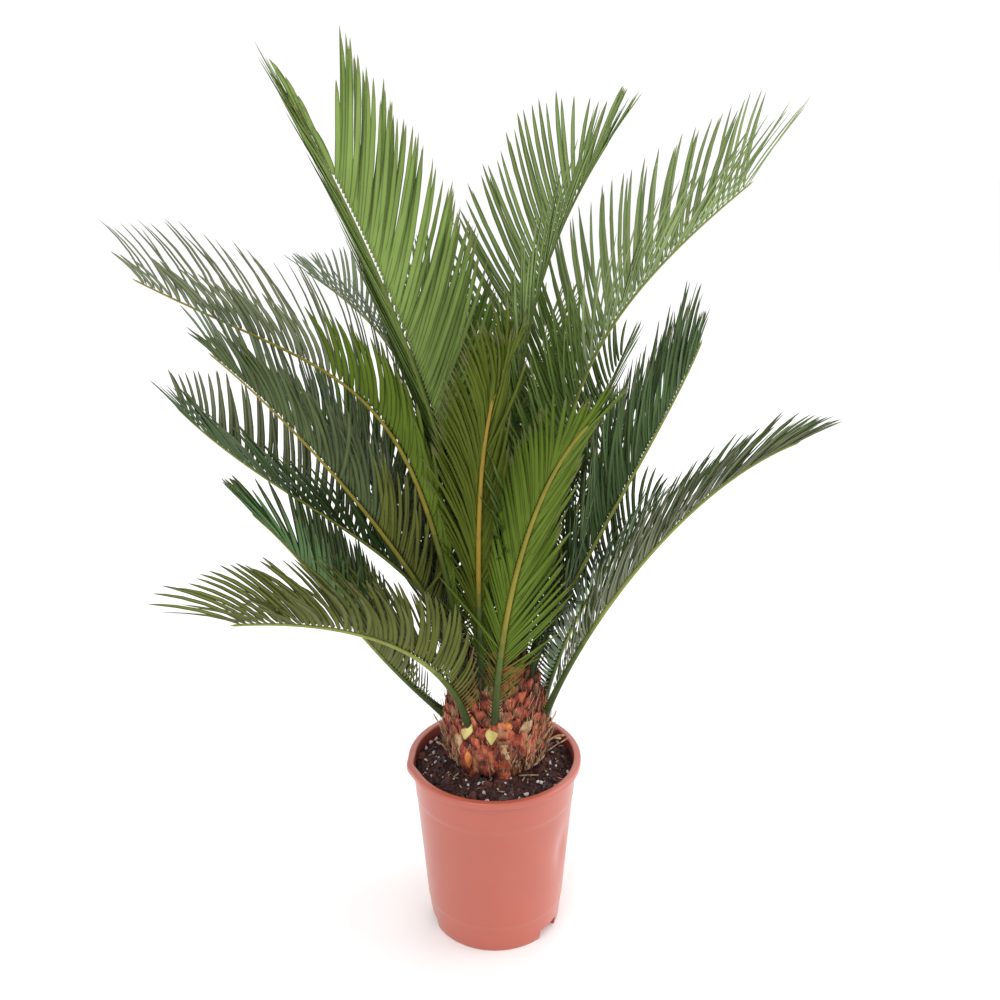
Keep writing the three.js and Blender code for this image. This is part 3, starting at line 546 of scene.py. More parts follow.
SOIL_WET = soil_finish("soil_wet", (0.018, 0.007, 0.009), (0.074, 0.034, 0.038), 0.30)
PERLITE = soil_finish("perlite", (0.42, 0.37, 0.34), (0.78, 0.72, 0.68))
CHIP_TAN = fibrous_finish("chip_tan", (0.22, 0.13, 0.07), (0.55, 0.38, 0.24))
POT_PLASTIC = pot_finish("pot_plastic", (0.452, 0.097, 0.059), 0.38, 0.5)
# The darker inside finish is painted shade for the shadowed inner wall.
POT_INSIDE_SHADE = pot_finish("pot_inside", (0.300, 0.060, 0.045), 0.55, 0.1)


# ------------------------------------------------------------------ node trees
class Tree:
    """A geometry tree with named inputs, built from small statements."""

    def __init__(self, name, inputs):
        self.tree = bpy.data.node_groups.new(name, "GeometryNodeTree")
        face = self.tree.interface
        face.new_socket("Geometry", in_out="INPUT", socket_type="NodeSocketGeometry")
        self.sockets = {}
        for label, kind, value in inputs:
            socket = face.new_socket(label, in_out="INPUT", socket_type="NodeSocket" + kind)
            if value is not None:
                socket.default_value = value
            self.sockets[label] = socket
        face.new_socket("Geometry", in_out="OUTPUT", socket_type="NodeSocketGeometry")
        self.source = self.tree.nodes.new("NodeGroupInput")

    def __getitem__(self, label):
        return self.source.outputs[label]

    def add(self, kind, settings=None, **values):
        """A node; each value is linked if it is a socket and set if it is a number."""
        node = self.tree.nodes.new(kind)
        for key, value in (settings or {}).items():
            setattr(node, key, value)
        for key, value in values.items():
            at = int(key[1:]) if key[0] == "i" and key[1:].isdigit() else key.replace("_", " ")
            target = node.inputs[at]
            if isinstance(value, bpy.types.NodeSocket):
                self.tree.links.new(value, target)
            else:
                target.default_value = value
        return node

    def maths(self, operation, a, b=0.0, c=0.0):
        return self.add("ShaderNodeMath", {"operation": operation}, i0=a, i1=b, i2=c).outputs[0]

    def vector(self, x, y, z):
        return self.add("ShaderNodeCombineXYZ", X=x, Y=y, Z=z).outputs[0]

    def read(self, name, kind):
        return self.add("GeometryNodeInputNamedAttribute", {"data_type": kind}, Name=name).outputs[0]

    def chance(self, kind, low, high, seed):
        """A random vector, number or whole number between two limits."""
        at = ("FLOAT_VECTOR", "FLOAT", "INT").index(kind)
        limits = {f"i{2 * at}": low, f"i{2 * at + 1}": high}
        return self.add("FunctionNodeRandomValue", {"data_type": kind}, Seed=seed, **limits).outputs[at]

    def sow(self, points, kinds, index, rotation, scale):
        """Sets one shape of a collection on each point, as real geometry."""
        shapes = self.add("GeometryNodeCollectionInfo", {"transform_space": "ORIGINAL"},
                          Collection=kinds, Separate_Children=True, Reset_Children=True).outputs[0]
        sown = self.add("GeometryNodeInstanceOnPoints", Points=points, Instance=shapes, Pick_Instance=True,
                        Instance_Index=index, Rotation=rotation, Scale=scale).outputs[0]
        return self.add("GeometryNodeRealizeInstances", Geometry=sown).outputs[0]

    def paint(self, geometry, marks, value, material):
        """Sets a material on the faces whose mark has this value."""
        chosen = self.add("FunctionNodeCompare", {"data_type": "INT", "operation": "EQUAL"})
        self.tree.links.new(marks, chosen.inputs[2])
        chosen.inputs[3].default_value = value
        return self.add("GeometryNodeSetMaterial", Geometry=geometry, Selection=chosen.outputs[0],
                        Material=material).outputs[0]

    def paint_parts(self, geometry, labels):
        """Sets the material of each marked part, from the inputs with these labels."""
        for value, label in enumerate(labels):
            geometry = self.paint(geometry, self.read("part", "INT"), value, self[label])
        return geometry

    def finish(self, geometry):
        out = self.tree.nodes.new("NodeGroupOutput")
        self.tree.links.new(geometry, out.inputs[0])
        return self

    def grow(self, piece, **values):
        """Runs the tree on a piece with its inputs set, and leaves a plain mesh."""
        modifier = piece.modifiers.new("grow", "NODES")
        modifier.node_group = self.tree
        for label, value in values.items():
            modifier[self.sockets[label.replace("_", " ")].identifier] = value
        return plain_mesh(piece)


SHAPE_SETS = []


def kinds_of(name, pieces):
    """A collection of the shapes that a tree sets out; it is removed at the end."""
    shapes = bpy.data.collections.new(name)
    for piece in pieces:
        shapes.objects.link(piece)
        bpy.context.scene.collection.objects.unlink(piece)
    SHAPE_SETS.append(shapes)
    return shapes


def remove_shapes():
    """Removes the shapes that the trees set out."""
    for shapes in SHAPE_SETS:
        for piece in list(shapes.objects):
            bpy.data.objects.remove(piece)
        bpy.data.collections.remove(shapes)


LEAFLET_PARTS = ("Blade", "Midrib", "Point", "Margin", "Underside")
BLADE_PART, MIDRIB_PART, POINT_PART, MARGIN_PART, UNDERSIDE_PART = range(len(LEAFLET_PARTS))
GRAIN_FINISHES = ("First Finish", "Second Finish", "Third Finish")


def leaflet_tree():
    """Sets a leaflet of its own length on every growing point of a rib."""
    tree = Tree("leaflets_on_rib", [
        ("Leaflet Kinds", "Collection", None), ("Leaflet Width", "Float", LEAFLET_WIDTH * MM),
        ("Width To Length", "Float", WIDTH_TO_LENGTH), ("Bow", "Float", 0.9),
        ("Blade Light", "Material", None), ("Blade Shaded", "Material", None),
    ] + [(label, "Material", None) for label in LEAFLET_PARTS])
    breadth = tree.maths("MULTIPLY", tree.read("breadth", "FLOAT"), tree["Leaflet Width"])
    across = tree.maths("DIVIDE", breadth, tree["Width To Length"])
    scale = tree.vector(tree.read("length", "FLOAT"), across, across)
    geometry = tree.sow(tree["Geometry"], tree["Leaflet Kinds"], tree.read("kind", "INT"),
                        tree.read("aim", "FLOAT_VECTOR"), scale)
    along = tree.read("along", "FLOAT")
    bow = tree.maths("SUBTRACT", along, tree["Bow"])
    offset = tree.add("ShaderNodeVectorMath", {"operation": "SCALE"}, i0=tree.read("bend", "FLOAT_VECTOR"),
                      Scale=tree.maths("MULTIPLY", along, bow)).outputs[0]
    geometry = tree.add("GeometryNodeSetPosition", Geometry=geometry, Offset=offset).outputs[0]
    geometry = tree.paint_parts(geometry, LEAFLET_PARTS)
    # Tone 1 picks the painted lit blade and tone 2 the painted shaded blade.
    tone = tree.maths("MULTIPLY", tree.read("tone", "INT"), 10)
    painted_light_code = tree.maths("ADD", tree.read("part", "INT"), tone)
    for value, label in ((10, "Blade Light"), (20, "Blade Shaded")):
        geometry = tree.paint(geometry, painted_light_code, value, tree[label])
    return tree.finish(geometry)


def placed_tree():
    """Sets spines, husks or pads on points that already hold their aim and size."""
    tree = Tree("pieces_on_points", [("Kinds", "Collection", None), ("Finish", "Material", None)])
    geometry = tree.sow(tree["Geometry"], tree["Kinds"], tree.read("kind", "INT"),
                        tree.read("aim", "FLOAT_VECTOR"), tree.read("size", "FLOAT_VECTOR"))
    return tree.finish(tree.add("GeometryNodeSetMaterial", Geometry=geometry,
                                Material=tree["Finish"]).outputs[0])


def trunk_profile_curve(tree, part):
    """The trunk's radius at each part of its height."""
    profile = tree.add("ShaderNodeFloatCurve", Value=part)
    curve = profile.mapping.curves[0]
    while len(curve.points) < len(TRUNK_PROFILE):
        curve.points.new(0.5, 0.5)
    for point, (r, h) in zip(curve.points, TRUNK_PROFILE):
        point.location = (h / TRUNK_PROFILE[-1][1], r / PROFILE_FULL)
        point.handle_type = "VECTOR"
    profile.mapping.update()
    return profile.outputs[0]


def scale_tree():
    """Sets leaf-base scales round the trunk on a golden-angle spiral, in several tones."""
    labels = [tone.title() for tone in SCALE_TONES]
    tree = Tree("leaf_bases_on_trunk", [
        ("Scale Kinds", "Collection", None), ("Scale Count", "Int", 150), ("Trunk Height", "Float", 0.1),
        ("Trunk Radius", "Float", 0.06), ("Scale Size", "Float", 1.0), ("Lean", "Float", 0.2),
        ("Seed", "Int", 3), ("Centre", "Vector", (0, 0, 0)), ("Crown Part", "Float", 0.5),
    ] + [(label, "Material", None) for label in labels])
    points = tree.add("GeometryNodePoints", Count=tree["Scale Count"]).outputs[0]
    index = tree.add("GeometryNodeInputIndex").outputs[0]
    part = tree.maths("DIVIDE", tree.maths("ADD", index, 0.5), tree["Scale Count"])
    angle = tree.maths("MULTIPLY", index, math.pi * (3 - math.sqrt(5)))
    radius = tree.maths("MULTIPLY", trunk_profile_curve(tree, part), tree["Trunk Radius"])
    place = tree.vector(tree.maths("MULTIPLY", radius, tree.maths("COSINE", angle)),
                        tree.maths("MULTIPLY", radius, tree.maths("SINE", angle)),
                        tree.maths("MULTIPLY", part, tree["Trunk Height"]))
    moved = tree.add("ShaderNodeVectorMath", {"operation": "ADD"}, i0=place, i1=tree["Centre"]).outputs[0]
    points = tree.add("GeometryNodeSetPosition", Geometry=points, Position=moved).outputs[0]

    def between(low, high, offset):
        return tree.chance("FLOAT", low, high, tree.maths("ADD", tree["Seed"], offset))

    lean = tree.maths("MULTIPLY", tree["Lean"], between(0.3, 1.5, 1))
    swing = tree.maths("ADD", angle, between(-0.3, 0.3, 2))
    turn = tree.vector(between(-0.34, 0.34, 3), lean, swing)
    size = tree.maths("MULTIPLY", tree["Scale Size"], between(0.78, 1.2, 4))
    tall = tree.maths("MULTIPLY", size, between(0.85, 1.3, 5))
    luck = between(0.0, 0.999, 6)
    in_trunk = tree.maths("FLOOR", tree.maths("MULTIPLY", luck, len(TRUNK_TONE_ORDER)))
    in_crown = tree.maths("FLOOR", tree.maths("MULTIPLY", luck, len(CROWN_TONE_ORDER)))
    in_crown = tree.maths("ADD", in_crown, len(TRUNK_TONE_ORDER))
    high = tree.maths("GREATER_THAN", part, tree["Crown Part"])
    more = tree.maths("MULTIPLY", high, tree.maths("SUBTRACT", in_crown, in_trunk))
    pick = tree.maths("ADD", in_trunk, more)
    geometry = tree.sow(points, tree["Scale Kinds"], pick, turn, tree.vector(size, size, tall))
    return tree.finish(tree.paint_parts(geometry, labels))


def scatter_tree():
    """Strews crumbs on the soil's face, more or less sunk in, turned and sized at random."""
    tree = Tree("crumbs_on_soil", [
        ("Kinds", "Collection", None), ("Kind Count", "Int", 3), ("Density", "Float", 1000.0),
        ("Smallest", "Float", 0.5), ("Largest", "Float", 1.5), ("Tilt", "Float", math.pi),
        ("Seed", "Int", 1),
    ] + [(label, "Material", None) for label in GRAIN_FINISHES])
    seed = tree["Seed"]
    strewn_points = tree.add("GeometryNodeDistributePointsOnFaces", {"distribute_method": "RANDOM"},
                             Mesh=tree["Geometry"], Density=tree["Density"], Seed=seed).outputs[0]
    size = tree.chance("FLOAT", tree["Smallest"], tree["Largest"], seed)
    tilt = tree["Tilt"]
    back = tree.maths("MULTIPLY", tilt, -1.0)
    turn = tree.chance("FLOAT_VECTOR", tree.vector(back, back, -math.pi), tree.vector(tilt, tilt, math.pi),
                       tree.maths("ADD", seed, 7))
    last = tree.maths("SUBTRACT", tree["Kind Count"], 1)
    pick = tree.chance("INT", 0, last, tree.maths("ADD", seed, 11))
    geometry = tree.sow(strewn_points, tree["Kinds"], pick, turn, size)
    return tree.finish(tree.paint_parts(geometry, GRAIN_FINISHES))


# ------------------------------------------------------------------ frond rule
class Rib:
    """The line of one frond, with its direction and cross directions at any distance."""

    def __init__(self, row):
        self.frond = row
        radius, height = FOOT_RINGS[row["ring"]]
        away = heading(row["start"])
        foot = away * radius + np.array([TRUNK_X, TRUNK_Y, height])
        tip = heading(row["to"]) * row["reach"] + UP * row["top"]
        course = math.degrees(math.atan2(tip[1] - foot[1], tip[0] - foot[0])) + row["turn"]
        chord = np.linalg.norm(tip - foot)
        foot_hold, tip_hold = row["hold"]
        rise = away * math.sin(rad(row["lean"])) + UP * math.cos(rad(row["lean"]))
        fall = heading(course) * math.sin(rad(row["nod"])) + UP * math.cos(rad(row["nod"]))
        knots = [foot, foot + rise * foot_hold * chord, tip - fall * tip_hold * chord, tip]
        t = np.linspace(0, 1, RIB_STEPS + 1)[:, None]
        weights = ((1 - t) ** 3, 3 * t * (1 - t) ** 2, 3 * t * t * (1 - t), t ** 3)
        self.points = sum(w * k for w, k in zip(weights, knots))
        steps = np.linalg.norm(np.diff(self.points, axis=0), axis=1)
        self.along = np.concatenate([[0], np.cumsum(steps)])
        self.length = float(self.along[-1])
        self.stalk_end = BARE_STALK * self.length
        self.face_foot, face_tip = row.get("face", (row["start"], course))
        self.swing = (face_tip - self.face_foot + 540) % 360 - 180

    def frame_at(self, s):
        x = min(max(s, 0.0), self.length - 1e-6)
        i = min(int(np.searchsorted(self.along, x, side="right")) - 1, RIB_STEPS - 1)
        t = (x - self.along[i]) / (self.along[i + 1] - self.along[i])
        place = mix(self.points[i], self.points[i + 1], t)
        ahead = unit(self.points[min(i + 2, RIB_STEPS)] - self.points[max(i - 1, 0)])
        face = rad(self.face_foot + self.swing * x / self.length)
        side = np.array([-math.sin(face), math.cos(face), 0.0])
        side = unit(side - ahead * side.dot(ahead))
        return place, ahead, side, np.cross(ahead, side)

    def width_at(self, s):
        return mix(STALK_WIDTH, self.frond["rib_end"], (clamp01(s / self.length)) ** 0.8)


def leaflet_rule(row, u, opening, pressed):
    """A leaflet's length, and its angle from the rib, at a part of the leafy length."""
    grown = 0.25 + 0.75 * ease(u / row["fill"])
    length = row["leaf"] * grown * (1 - 0.15 * ease((u - 0.4) / 0.4) - row["end"] * ease((u - 0.8) / 0.2))
    spire_from, spire = row["spire"]
    length *= mix(1, spire, ease((u - spire_from) / SPIRE_RISE))
    shut_from, shut_by, shut = row["shut"]
    angle = opening + 66 - 18 * ease(u / 0.45) - 8 * ease((u - 0.5) / 0.38)
    angle += pressed * (1 - ease(u / PRESSED_END)) - shut * ease((u - shut_from) / (shut_by - shut_from))
    return length, max(angle, row["least"])


def trunk_radius_at(z):
    h = z - TRUNK_FOOT
    for (r0, h0), (r1, h1) in zip(TRUNK_PROFILE, TRUNK_PROFILE[1:]):
        if h <= h1:
            return mix(r0, r1, clamp01((h - h0) / (h1 - h0)))
    return -100


def clear_of_trunk_and_pot(start, end):
    for t in (0.3, 0.5, 0.75, 1.0):
        x, y, z = mix(start, end, t)
        if z < POT_HEIGHT + 3 and math.hypot(x, y) < POT_LIP_RADIUS + 3:
            return False
        if math.hypot(x - TRUNK_X, y - TRUNK_Y) < trunk_radius_at(z) + 1:
            return False
    return True


def leaf_finish_at(row, hand, u):
    """The finish of a leaflet: some fronds change near the foot or on the row that turns away."""
    if "inner" in row and u < row["inner_to"] and (hand > 0 or "back" not in row):
        return row["inner"]
    return row["finish"] if hand > 0 else row.get("back", row["finish"])


def growing_points(rib, dice):
    """Place, aim, length, breadth, bend, kind, tone (plain, painted lit, painted shaded) and finish of every
    leaflet on a rib.
    """
    row = rib.frond
    sweeps = np.ravel(row["sweep"])
    slim_to, slim, splay = row["slim"]
    restless = row["restless"]
    grown = []
    waves = [(dice.uniform(0.5, 0.9), dice.uniform(0, 6.3)), (dice.uniform(1.6, 2.4), dice.uniform(0, 6.3))]
    two_rows = zip((1, -1), row["keels"], row["opens"], row["pressed"], row["rows"], row["broad"])
    for hand, (foot_keel, tip_keel), opening, pressed, share, broad in two_rows:
        sweep = float(sweeps[0 if hand > 0 else -1])
        s = rib.stalk_end + dice.uniform(0, 2)
        k = 0
        while s < rib.length - BARE_END:
            u = (s - rib.stalk_end) / (rib.length - rib.stalk_end)
            length, angle = leaflet_rule(row, u, opening, pressed)
            bunching = 1.6 * math.sin(waves[0][0] * k + waves[0][1] + hand) + 1.1 * math.sin(waves[1][0] * k)
            angle += (bunching + dice.gauss(0, 1.1)) * restless + splay * (1 - ease(u / slim_to))
            keel = mix(foot_keel, tip_keel, ease(u / KEEL_TURN))
            keel += 2.5 * math.sin(waves[1][0] * k * 0.6 + waves[1][1]) + dice.gauss(0, 2.2) * restless
            length *= share * dice.uniform(0.95, 1.03)
            if dice.random() < row["loose"]:
                angle += dice.uniform(*LOOSE_TURN)
                keel -= dice.uniform(*LOOSE_TURN)
            place, ahead, side, inward = rib.frame_at(s)
            out = side * hand * math.cos(rad(keel)) + inward * math.sin(rad(keel))
            run = ahead * math.cos(rad(angle)) + out * math.sin(rad(angle))
            if clear_of_trunk_and_pot(place, place + run * length):
                forward = unit(ahead - run * ahead.dot(run))
                across = forward * hand
                lift = np.cross(run, across)
                if lift.dot(inward) < 0:
                    across = -across
                    lift = -lift
                roll = rad(dice.gauss(0, 7) * restless)
                across, lift = (across * math.cos(roll) + lift * math.sin(roll),
                                lift * math.cos(roll) - across * math.sin(roll))
                bend = forward * length * MM * math.tan(rad(sweep * dice.uniform(0.75, 1.25)))
                breadth = (0.55 + 0.45 * ease(u / 0.25)) * (1 - 0.3 * ease((u - 0.8) / 0.2))
                breadth *= row["breadth"] * broad * dice.uniform(0.92, 1.08)
                breadth *= mix(slim, 1, ease(u / slim_to))
                root = place + side * hand * rib.width_at(s) * 0.3 + inward * rib.width_at(s) * 0.2
                root = root + out * LEAFLET_WIDTH * breadth * 0.4 * math.cos(rad(angle))
                # Painted light and shade: each leaflet takes one of the plain, painted lit and painted
                # shaded blades at random.
                tone = dice.choices((0, 1, 2), weights=(5, 4, 4))[0]
                grown.append((root, turned_to(run, across, lift), length * MM, breadth, bend,
                              dice.randrange(4), tone, leaf_finish_at(row, hand, u)))
            s += mix(*row["spacing"], ease(u / 0.9)) * dice.uniform(0.93, 1.07)
            k += 1
    return grown


LEAFLET_FIELDS = (("aim", "FLOAT_VECTOR"), ("length", "FLOAT"), ("breadth", "FLOAT"),
                  ("bend", "FLOAT_VECTOR"), ("kind", "INT"), ("tone", "INT"))
PLACED_FIELDS = (("aim", "FLOAT_VECTOR"), ("size", "FLOAT_VECTOR"), ("kind", "INT"))


def point_piece(name, rows, fields=PLACED_FIELDS):
    """A mesh of loose points with one attribute for each field after the place."""
    mesh = bpy.data.meshes.new(name)
    mesh.from_pydata([tuple(row[0] * MM) for row in rows], [], [])
    for at, (label, kind) in enumerate(fields, start=1):
        column = mesh.attributes.new(label, kind, "POINT")
        values = [row[at] for row in rows]
        if kind == "FLOAT_VECTOR":
            column.data.foreach_set("vector", [float(c) for v in values for c in v])
        else:
            column.data.foreach_set("value", values)
    return placed(name, mesh)


# ------------------------------------------------------------------ leaflet shapes
LEAFLET_SECTION = (
    (-0.50, -0.17), (-0.37, -0.04), (-0.06, 0.03), (0.0, 0.09), (0.06, 0.03), (0.37, -0.04), (0.50, -0.17),
    (0.34, -0.13), (0.0, -0.20), (-0.34, -0.13),
)
SECTION_PARTS = (
    MARGIN_PART, BLADE_PART, MIDRIB_PART, MIDRIB_PART, BLADE_PART, MARGIN_PART, MARGIN_PART,
    UNDERSIDE_PART, UNDERSIDE_PART, MARGIN_PART,
)
MARGIN_CORNERS = (0, 6)
LEAFLET_OUTLINE = (
    (0.0, 0.45), (0.06, 0.88), (0.22, 1.0), (0.46, 1.0), (0.70, 0.90), (0.87, 0.62), (0.96, 0.28),
)
LEAFLET_END = 0.992
DROOPS_AND_TWISTS = ((0.01, 0.15), (0.03, -0.3), (-0.01, 0.35), (0.02, -0.1))


def leaflet_shape(name, droop, twist):
    """A long flat blade with margins turned down and a raised midrib."""
    points = []
    for t, full in LEAFLET_OUTLINE:
        turn = twist * (t - 0.2)
        for y, z in LEAFLET_SECTION:
            y *= WIDTH_TO_LENGTH * full
            z *= WIDTH_TO_LENGTH * full
            points.append((
                t * LEAFLET_END,
                y * math.cos(turn) - z * math.sin(turn),
                -droop * t * t + y * math.sin(turn) + z * math.cos(turn),
            ))
    points.append((LEAFLET_END, 0, -droop))
    ring = len(LEAFLET_SECTION)
    rows = len(LEAFLET_OUTLINE) - 1
    faces = tube_faces(rows, ring) + fan_faces(len(points) - 1, rows * ring, ring, flip=True)
    faces.append(tuple(range(ring)))
    piece = solid(name, points, faces, size=1)
    mesh = piece.data
    parts = list(SECTION_PARTS) * (rows - 1) + [POINT_PART] * 2 * ring + [BLADE_PART]
    mesh.attributes.new("part", "INT", "FACE").data.foreach_set("value", parts)
    along = [t for t, full in LEAFLET_OUTLINE for corner in range(ring)] + [1]
    mesh.attributes.new("along", "FLOAT", "POINT").data.foreach_set("value", along)
    margins = [
        edge.vertices[0] % ring in MARGIN_CORNERS and abs(edge.vertices[0] - edge.vertices[1]) == ring
        for edge in mesh.edges]
    mesh.attributes.new("sharp_edge", "BOOLEAN", "EDGE").data.foreach_set("value", margins)
    mesh.update()
    return piece


def leaflet_kinds():
    return kinds_of("leaflet_kinds", [
        leaflet_shape(f"leaflet_{k}", *ways) for k, ways in enumerate(DROOPS_AND_TWISTS)])


# ------------------------------------------------------------------ ribs, stalks and spines
RIB_SECTION = (
    (-0.50, 0.16), (-0.36, 0.30), (-0.10, 0.25), (0.10, 0.25), (0.36, 0.30), (0.50, 0.16),
    (0.40, -0.22), (0.18, -0.48), (-0.18, -0.48), (-0.40, -0.22),
)


def rib_piece(rib):
    """Stalk and rachis in one: grooved above, keeled below, swollen and pale at the foot."""
    row = rib.frond
    pale_foot = PALE_FOOT if row["ring"] == "lower" else 0
    last_tone = RIB_TONE_COUNT - 1
    tone_ends = [mix(20, 2.9 * rib.stalk_end, k / (last_tone - 1)) for k in range(last_tone)]
    stations = [-16, -10, -4, 2, 9, 18] + list(np.linspace(26, rib.length - 2, 46))
    points = []
    for s in stations:
        place, ahead, side, inward = rib.frame_at(s)
        place = place + ahead * min(s, 0)
        swell = 1 + 0.3 * math.exp(-((s - 4) / 13) ** 2) + 0.28 * math.exp(-(s / 60) ** 2)
        width = rib.width_at(s)
        for across, up in RIB_SECTION:
            points.append(place + side * across * width * swell + inward * up * width * swell)
    place, ahead, side, inward = rib.frame_at(rib.length)
    points.append(place + ahead * 3)
    ring = len(RIB_SECTION)
    rows = len(stations) - 1
    faces = tube_faces(rows, ring) + fan_faces(len(points) - 1, rows * ring, ring, flip=True)
    faces.append(tuple(range(ring)))
    slots = []
    for s in stations[:-1]:
        slots += [0 if s < pale_foot else 1 + sum(s > end for end in tone_ends)] * ring
    slots += [RIB_TONE_COUNT] * ring + [0]
    piece = solid("rib_" + row["name"], points, faces)
    for material in (STALK_PALE, *RIB_TONES[row["rachis"]]):
        piece.data.materials.append(material)
    piece.data.polygons.foreach_set("material_index", slots)
    return piece


def spine_kinds():
    points = [(0, 0.5, 0), (0, -0.25, 0.43), (0, -0.25, -0.43), (1, 0, 0)]
    faces = [(0, 1, 3), (1, 2, 3), (2, 0, 3), (0, 2, 1)]
    return kinds_of("spine_kinds", [solid("spine_0", points, faces, smooth=False, size=1)])


def spine_rows(rib, dice):
    """Short spines on both edges of the stalk, longer towards the first leaflets."""
    rows = []
    for hand in (1, -1):
        s = 15 + dice.uniform(0, 3)
        while s < rib.stalk_end + 3:
            place, ahead, side, inward = rib.frame_at(s)
            width = rib.width_at(s)
            out = unit(side * hand + inward * 0.55 + ahead * dice.uniform(0.3, 0.9))
            across = unit(ahead - out * ahead.dot(out))
            length = mix(*SPINE_LENGTHS, clamp01(s / rib.stalk_end)) * dice.uniform(0.75, 1.2)
            root = place + side * hand * width * 0.42 + inward * width * 0.2
            size = (length * MM, SPINE_WIDTH * MM, SPINE_WIDTH * MM)
            rows.append((root, turned_to(out, across, np.cross(out, across)), size, 0))
            s += dice.uniform(3.0, 5.0)
    return rows


# ------------------------------------------------------------------ trunk
def trunk_core():
    """The fibrous body under the scales."""
    profile = [(48, 0.2)] + list(TRUNK_PROFILE[1:]) + [(3, 144)]
    fine = [blended(low, high, k / 6) for low, high in zip(profile, profile[1:]) for k in range(6)]
    fine.append(profile[-1])
    points = []
    for r, h in fine:
        for a in round_angles(TRUNK_SIDES):
            lumps = noise.noise(Vector((math.cos(a) * 5, math.sin(a) * 5, h * 0.07)))
            fibres = noise.noise(Vector((math.cos(a) * 22, math.sin(a) * 22, h * 0.09)))
            reach = max(r - 2.6 + 2.0 * lumps + 1.2 * fibres, 1)
            points.append((TRUNK_X + reach * math.cos(a), TRUNK_Y + reach * math.sin(a), TRUNK_FOOT + h))
    faces = tube_faces(len(fine) - 1, TRUNK_SIDES, flip=True)
    faces.append(tuple(reversed(range(TRUNK_SIDES))))
    faces.append(tuple(range(len(points) - TRUNK_SIDES, len(points))))
    piece = solid("trunk_core", points, faces)
    piece.data.materials.append(TRUNK_DARK)
    return piece


def scale_shape(name, dice):
    """An old leaf base: a broad low diamond, ribbed by its fibres, with a torn upper edge."""
    front = []
    back = []
    shift = dice.uniform(0, 40)
    for r in range(SCALE_STEPS + 1):
        v = r / SCALE_STEPS
        top = r == SCALE_STEPS
        half = SCALE_HALF_WIDTH * math.sin(math.pi * (0.13 + 0.72 * v)) ** 0.8
        for c in range(SCALE_STEPS + 1):
            u = 2 * c / SCALE_STEPS - 1
            fray = dice.uniform(-3.2, 1.0) if top else 0
            bulge = 3.4 * (1 - u * u) * math.sin(math.pi * (0.15 + 0.65 * v)) + 1.8 * v
            ripple = 1.6 * noise.noise(Vector((u * 3.5 + shift, v * 0.9, shift)))
            x = bulge + ripple + dice.uniform(-0.2, 0.2)
            z = v * SCALE_HEIGHT - SCALE_HEIGHT / 2 + fray
            front.append((x, u * half, z))
            back.append((min(x - 1.6, -0.4 + 1.8 * v), u * half * 0.96, z - (1.2 if top else 0)))
    return solid(name, front + back, shell_faces(SCALE_STEPS))


def scale_kinds():
    dice = random.Random(41)
    tones = list(SCALE_TONES)
    return kinds_of("scale_kinds", [
        marked(scale_shape(f"scale_{k:02d}", dice), tones.index(tone))
        for k, tone in enumerate(TRUNK_TONE_ORDER + CROWN_TONE_ORDER)])


def pad_shape(name):
    """A small smooth shield, one unit long and wide, pointed below."""
    points = []
    for face in (1, -1):
        for r in range(PAD_STEPS + 1):
            v = r / PAD_STEPS
            half = 0.5 * math.sin(math.pi * (0.03 + 0.88 * v ** 1.25)) ** 0.9
            for c in range(PAD_STEPS + 1):
                u = 2 * c / PAD_STEPS - 1
                rise = 0.5 * (1 - u * u) * math.sin(math.pi * v) if face > 0 else -0.4
                points.append((v - 0.5, u * half, rise + 0.05 * face))
    return solid(name, points, shell_faces(PAD_STEPS, flip=True), size=1)


def strip_shape(name, curl, taper, flat=0.08, stations=8):
    """A thin dry strip, one unit long and wide, that curls over its length."""
    points = []
    x = z = 0.0
    bend = 0.0
    for k in range(stations):
        t = k / (stations - 1)
        half = 0.5 * (1 - taper * t ** 1.6) * (0.75 + 0.25 * math.sin(7 * t + 1))
        lift = 0.04 * math.sin(11 * t)
        nx, nz = -math.sin(bend), math.cos(bend)
        for y, n in ((-half, lift), (0, lift + flat), (half, -lift), (0, -flat)):
            points.append((x + nx * n, y, z + nz * n))
        bend += curl / (stations - 1)
        x += math.cos(bend) / (stations - 1)
        z += math.sin(bend) / (stations - 1)
    end = (stations - 1) * 4
    faces = tube_faces(stations - 1, 4) + [(0, 1, 2, 3), (end + 3, end + 2, end + 1, end)]
    return solid(name, points, faces, size=1)


def aim_from(run, outward):
    across = unit(np.cross(outward, run))
    return turned_to(run, across, np.cross(run, across))


def husk_rows(dice, count, low, high, longest, widest, lift, spread=180, middle=0):
    """Papery strips that lie on the trunk and peel away from it."""
    rows = []
    for _ in range(count):
        out = heading(middle + dice.uniform(-spread, spread))
        z = TRUNK_FOOT + dice.uniform(low, high)
        radius = trunk_radius_at(z) + dice.uniform(-1, 2.5)
        place = np.array([TRUNK_X, TRUNK_Y, z]) + out * radius
        run = unit(UP + np.cross(UP, out) * dice.gauss(0, 0.35) + out * dice.uniform(0.0, lift))
        size = (dice.uniform(0.45, 1) * longest * MM, dice.uniform(0.4, 1) * widest * MM, 1.2 * MM)
        rows.append((place, aim_from(run, out), size, dice.randrange(4)))
    return rows


def on_trunk(angle, height, off):
    """A place on the trunk's face, with the way out from it and the way up along it."""
    out = heading(angle)
    z = TRUNK_FOOT + height
    slope = (trunk_radius_at(z + 4) - trunk_radius_at(z - 4)) / 8
    rise = unit(UP + out * slope)
    place = np.array([TRUNK_X, TRUNK_Y, z]) + out * (trunk_radius_at(z) + off)
    return place, unit(out - rise * out.dot(rise)), rise


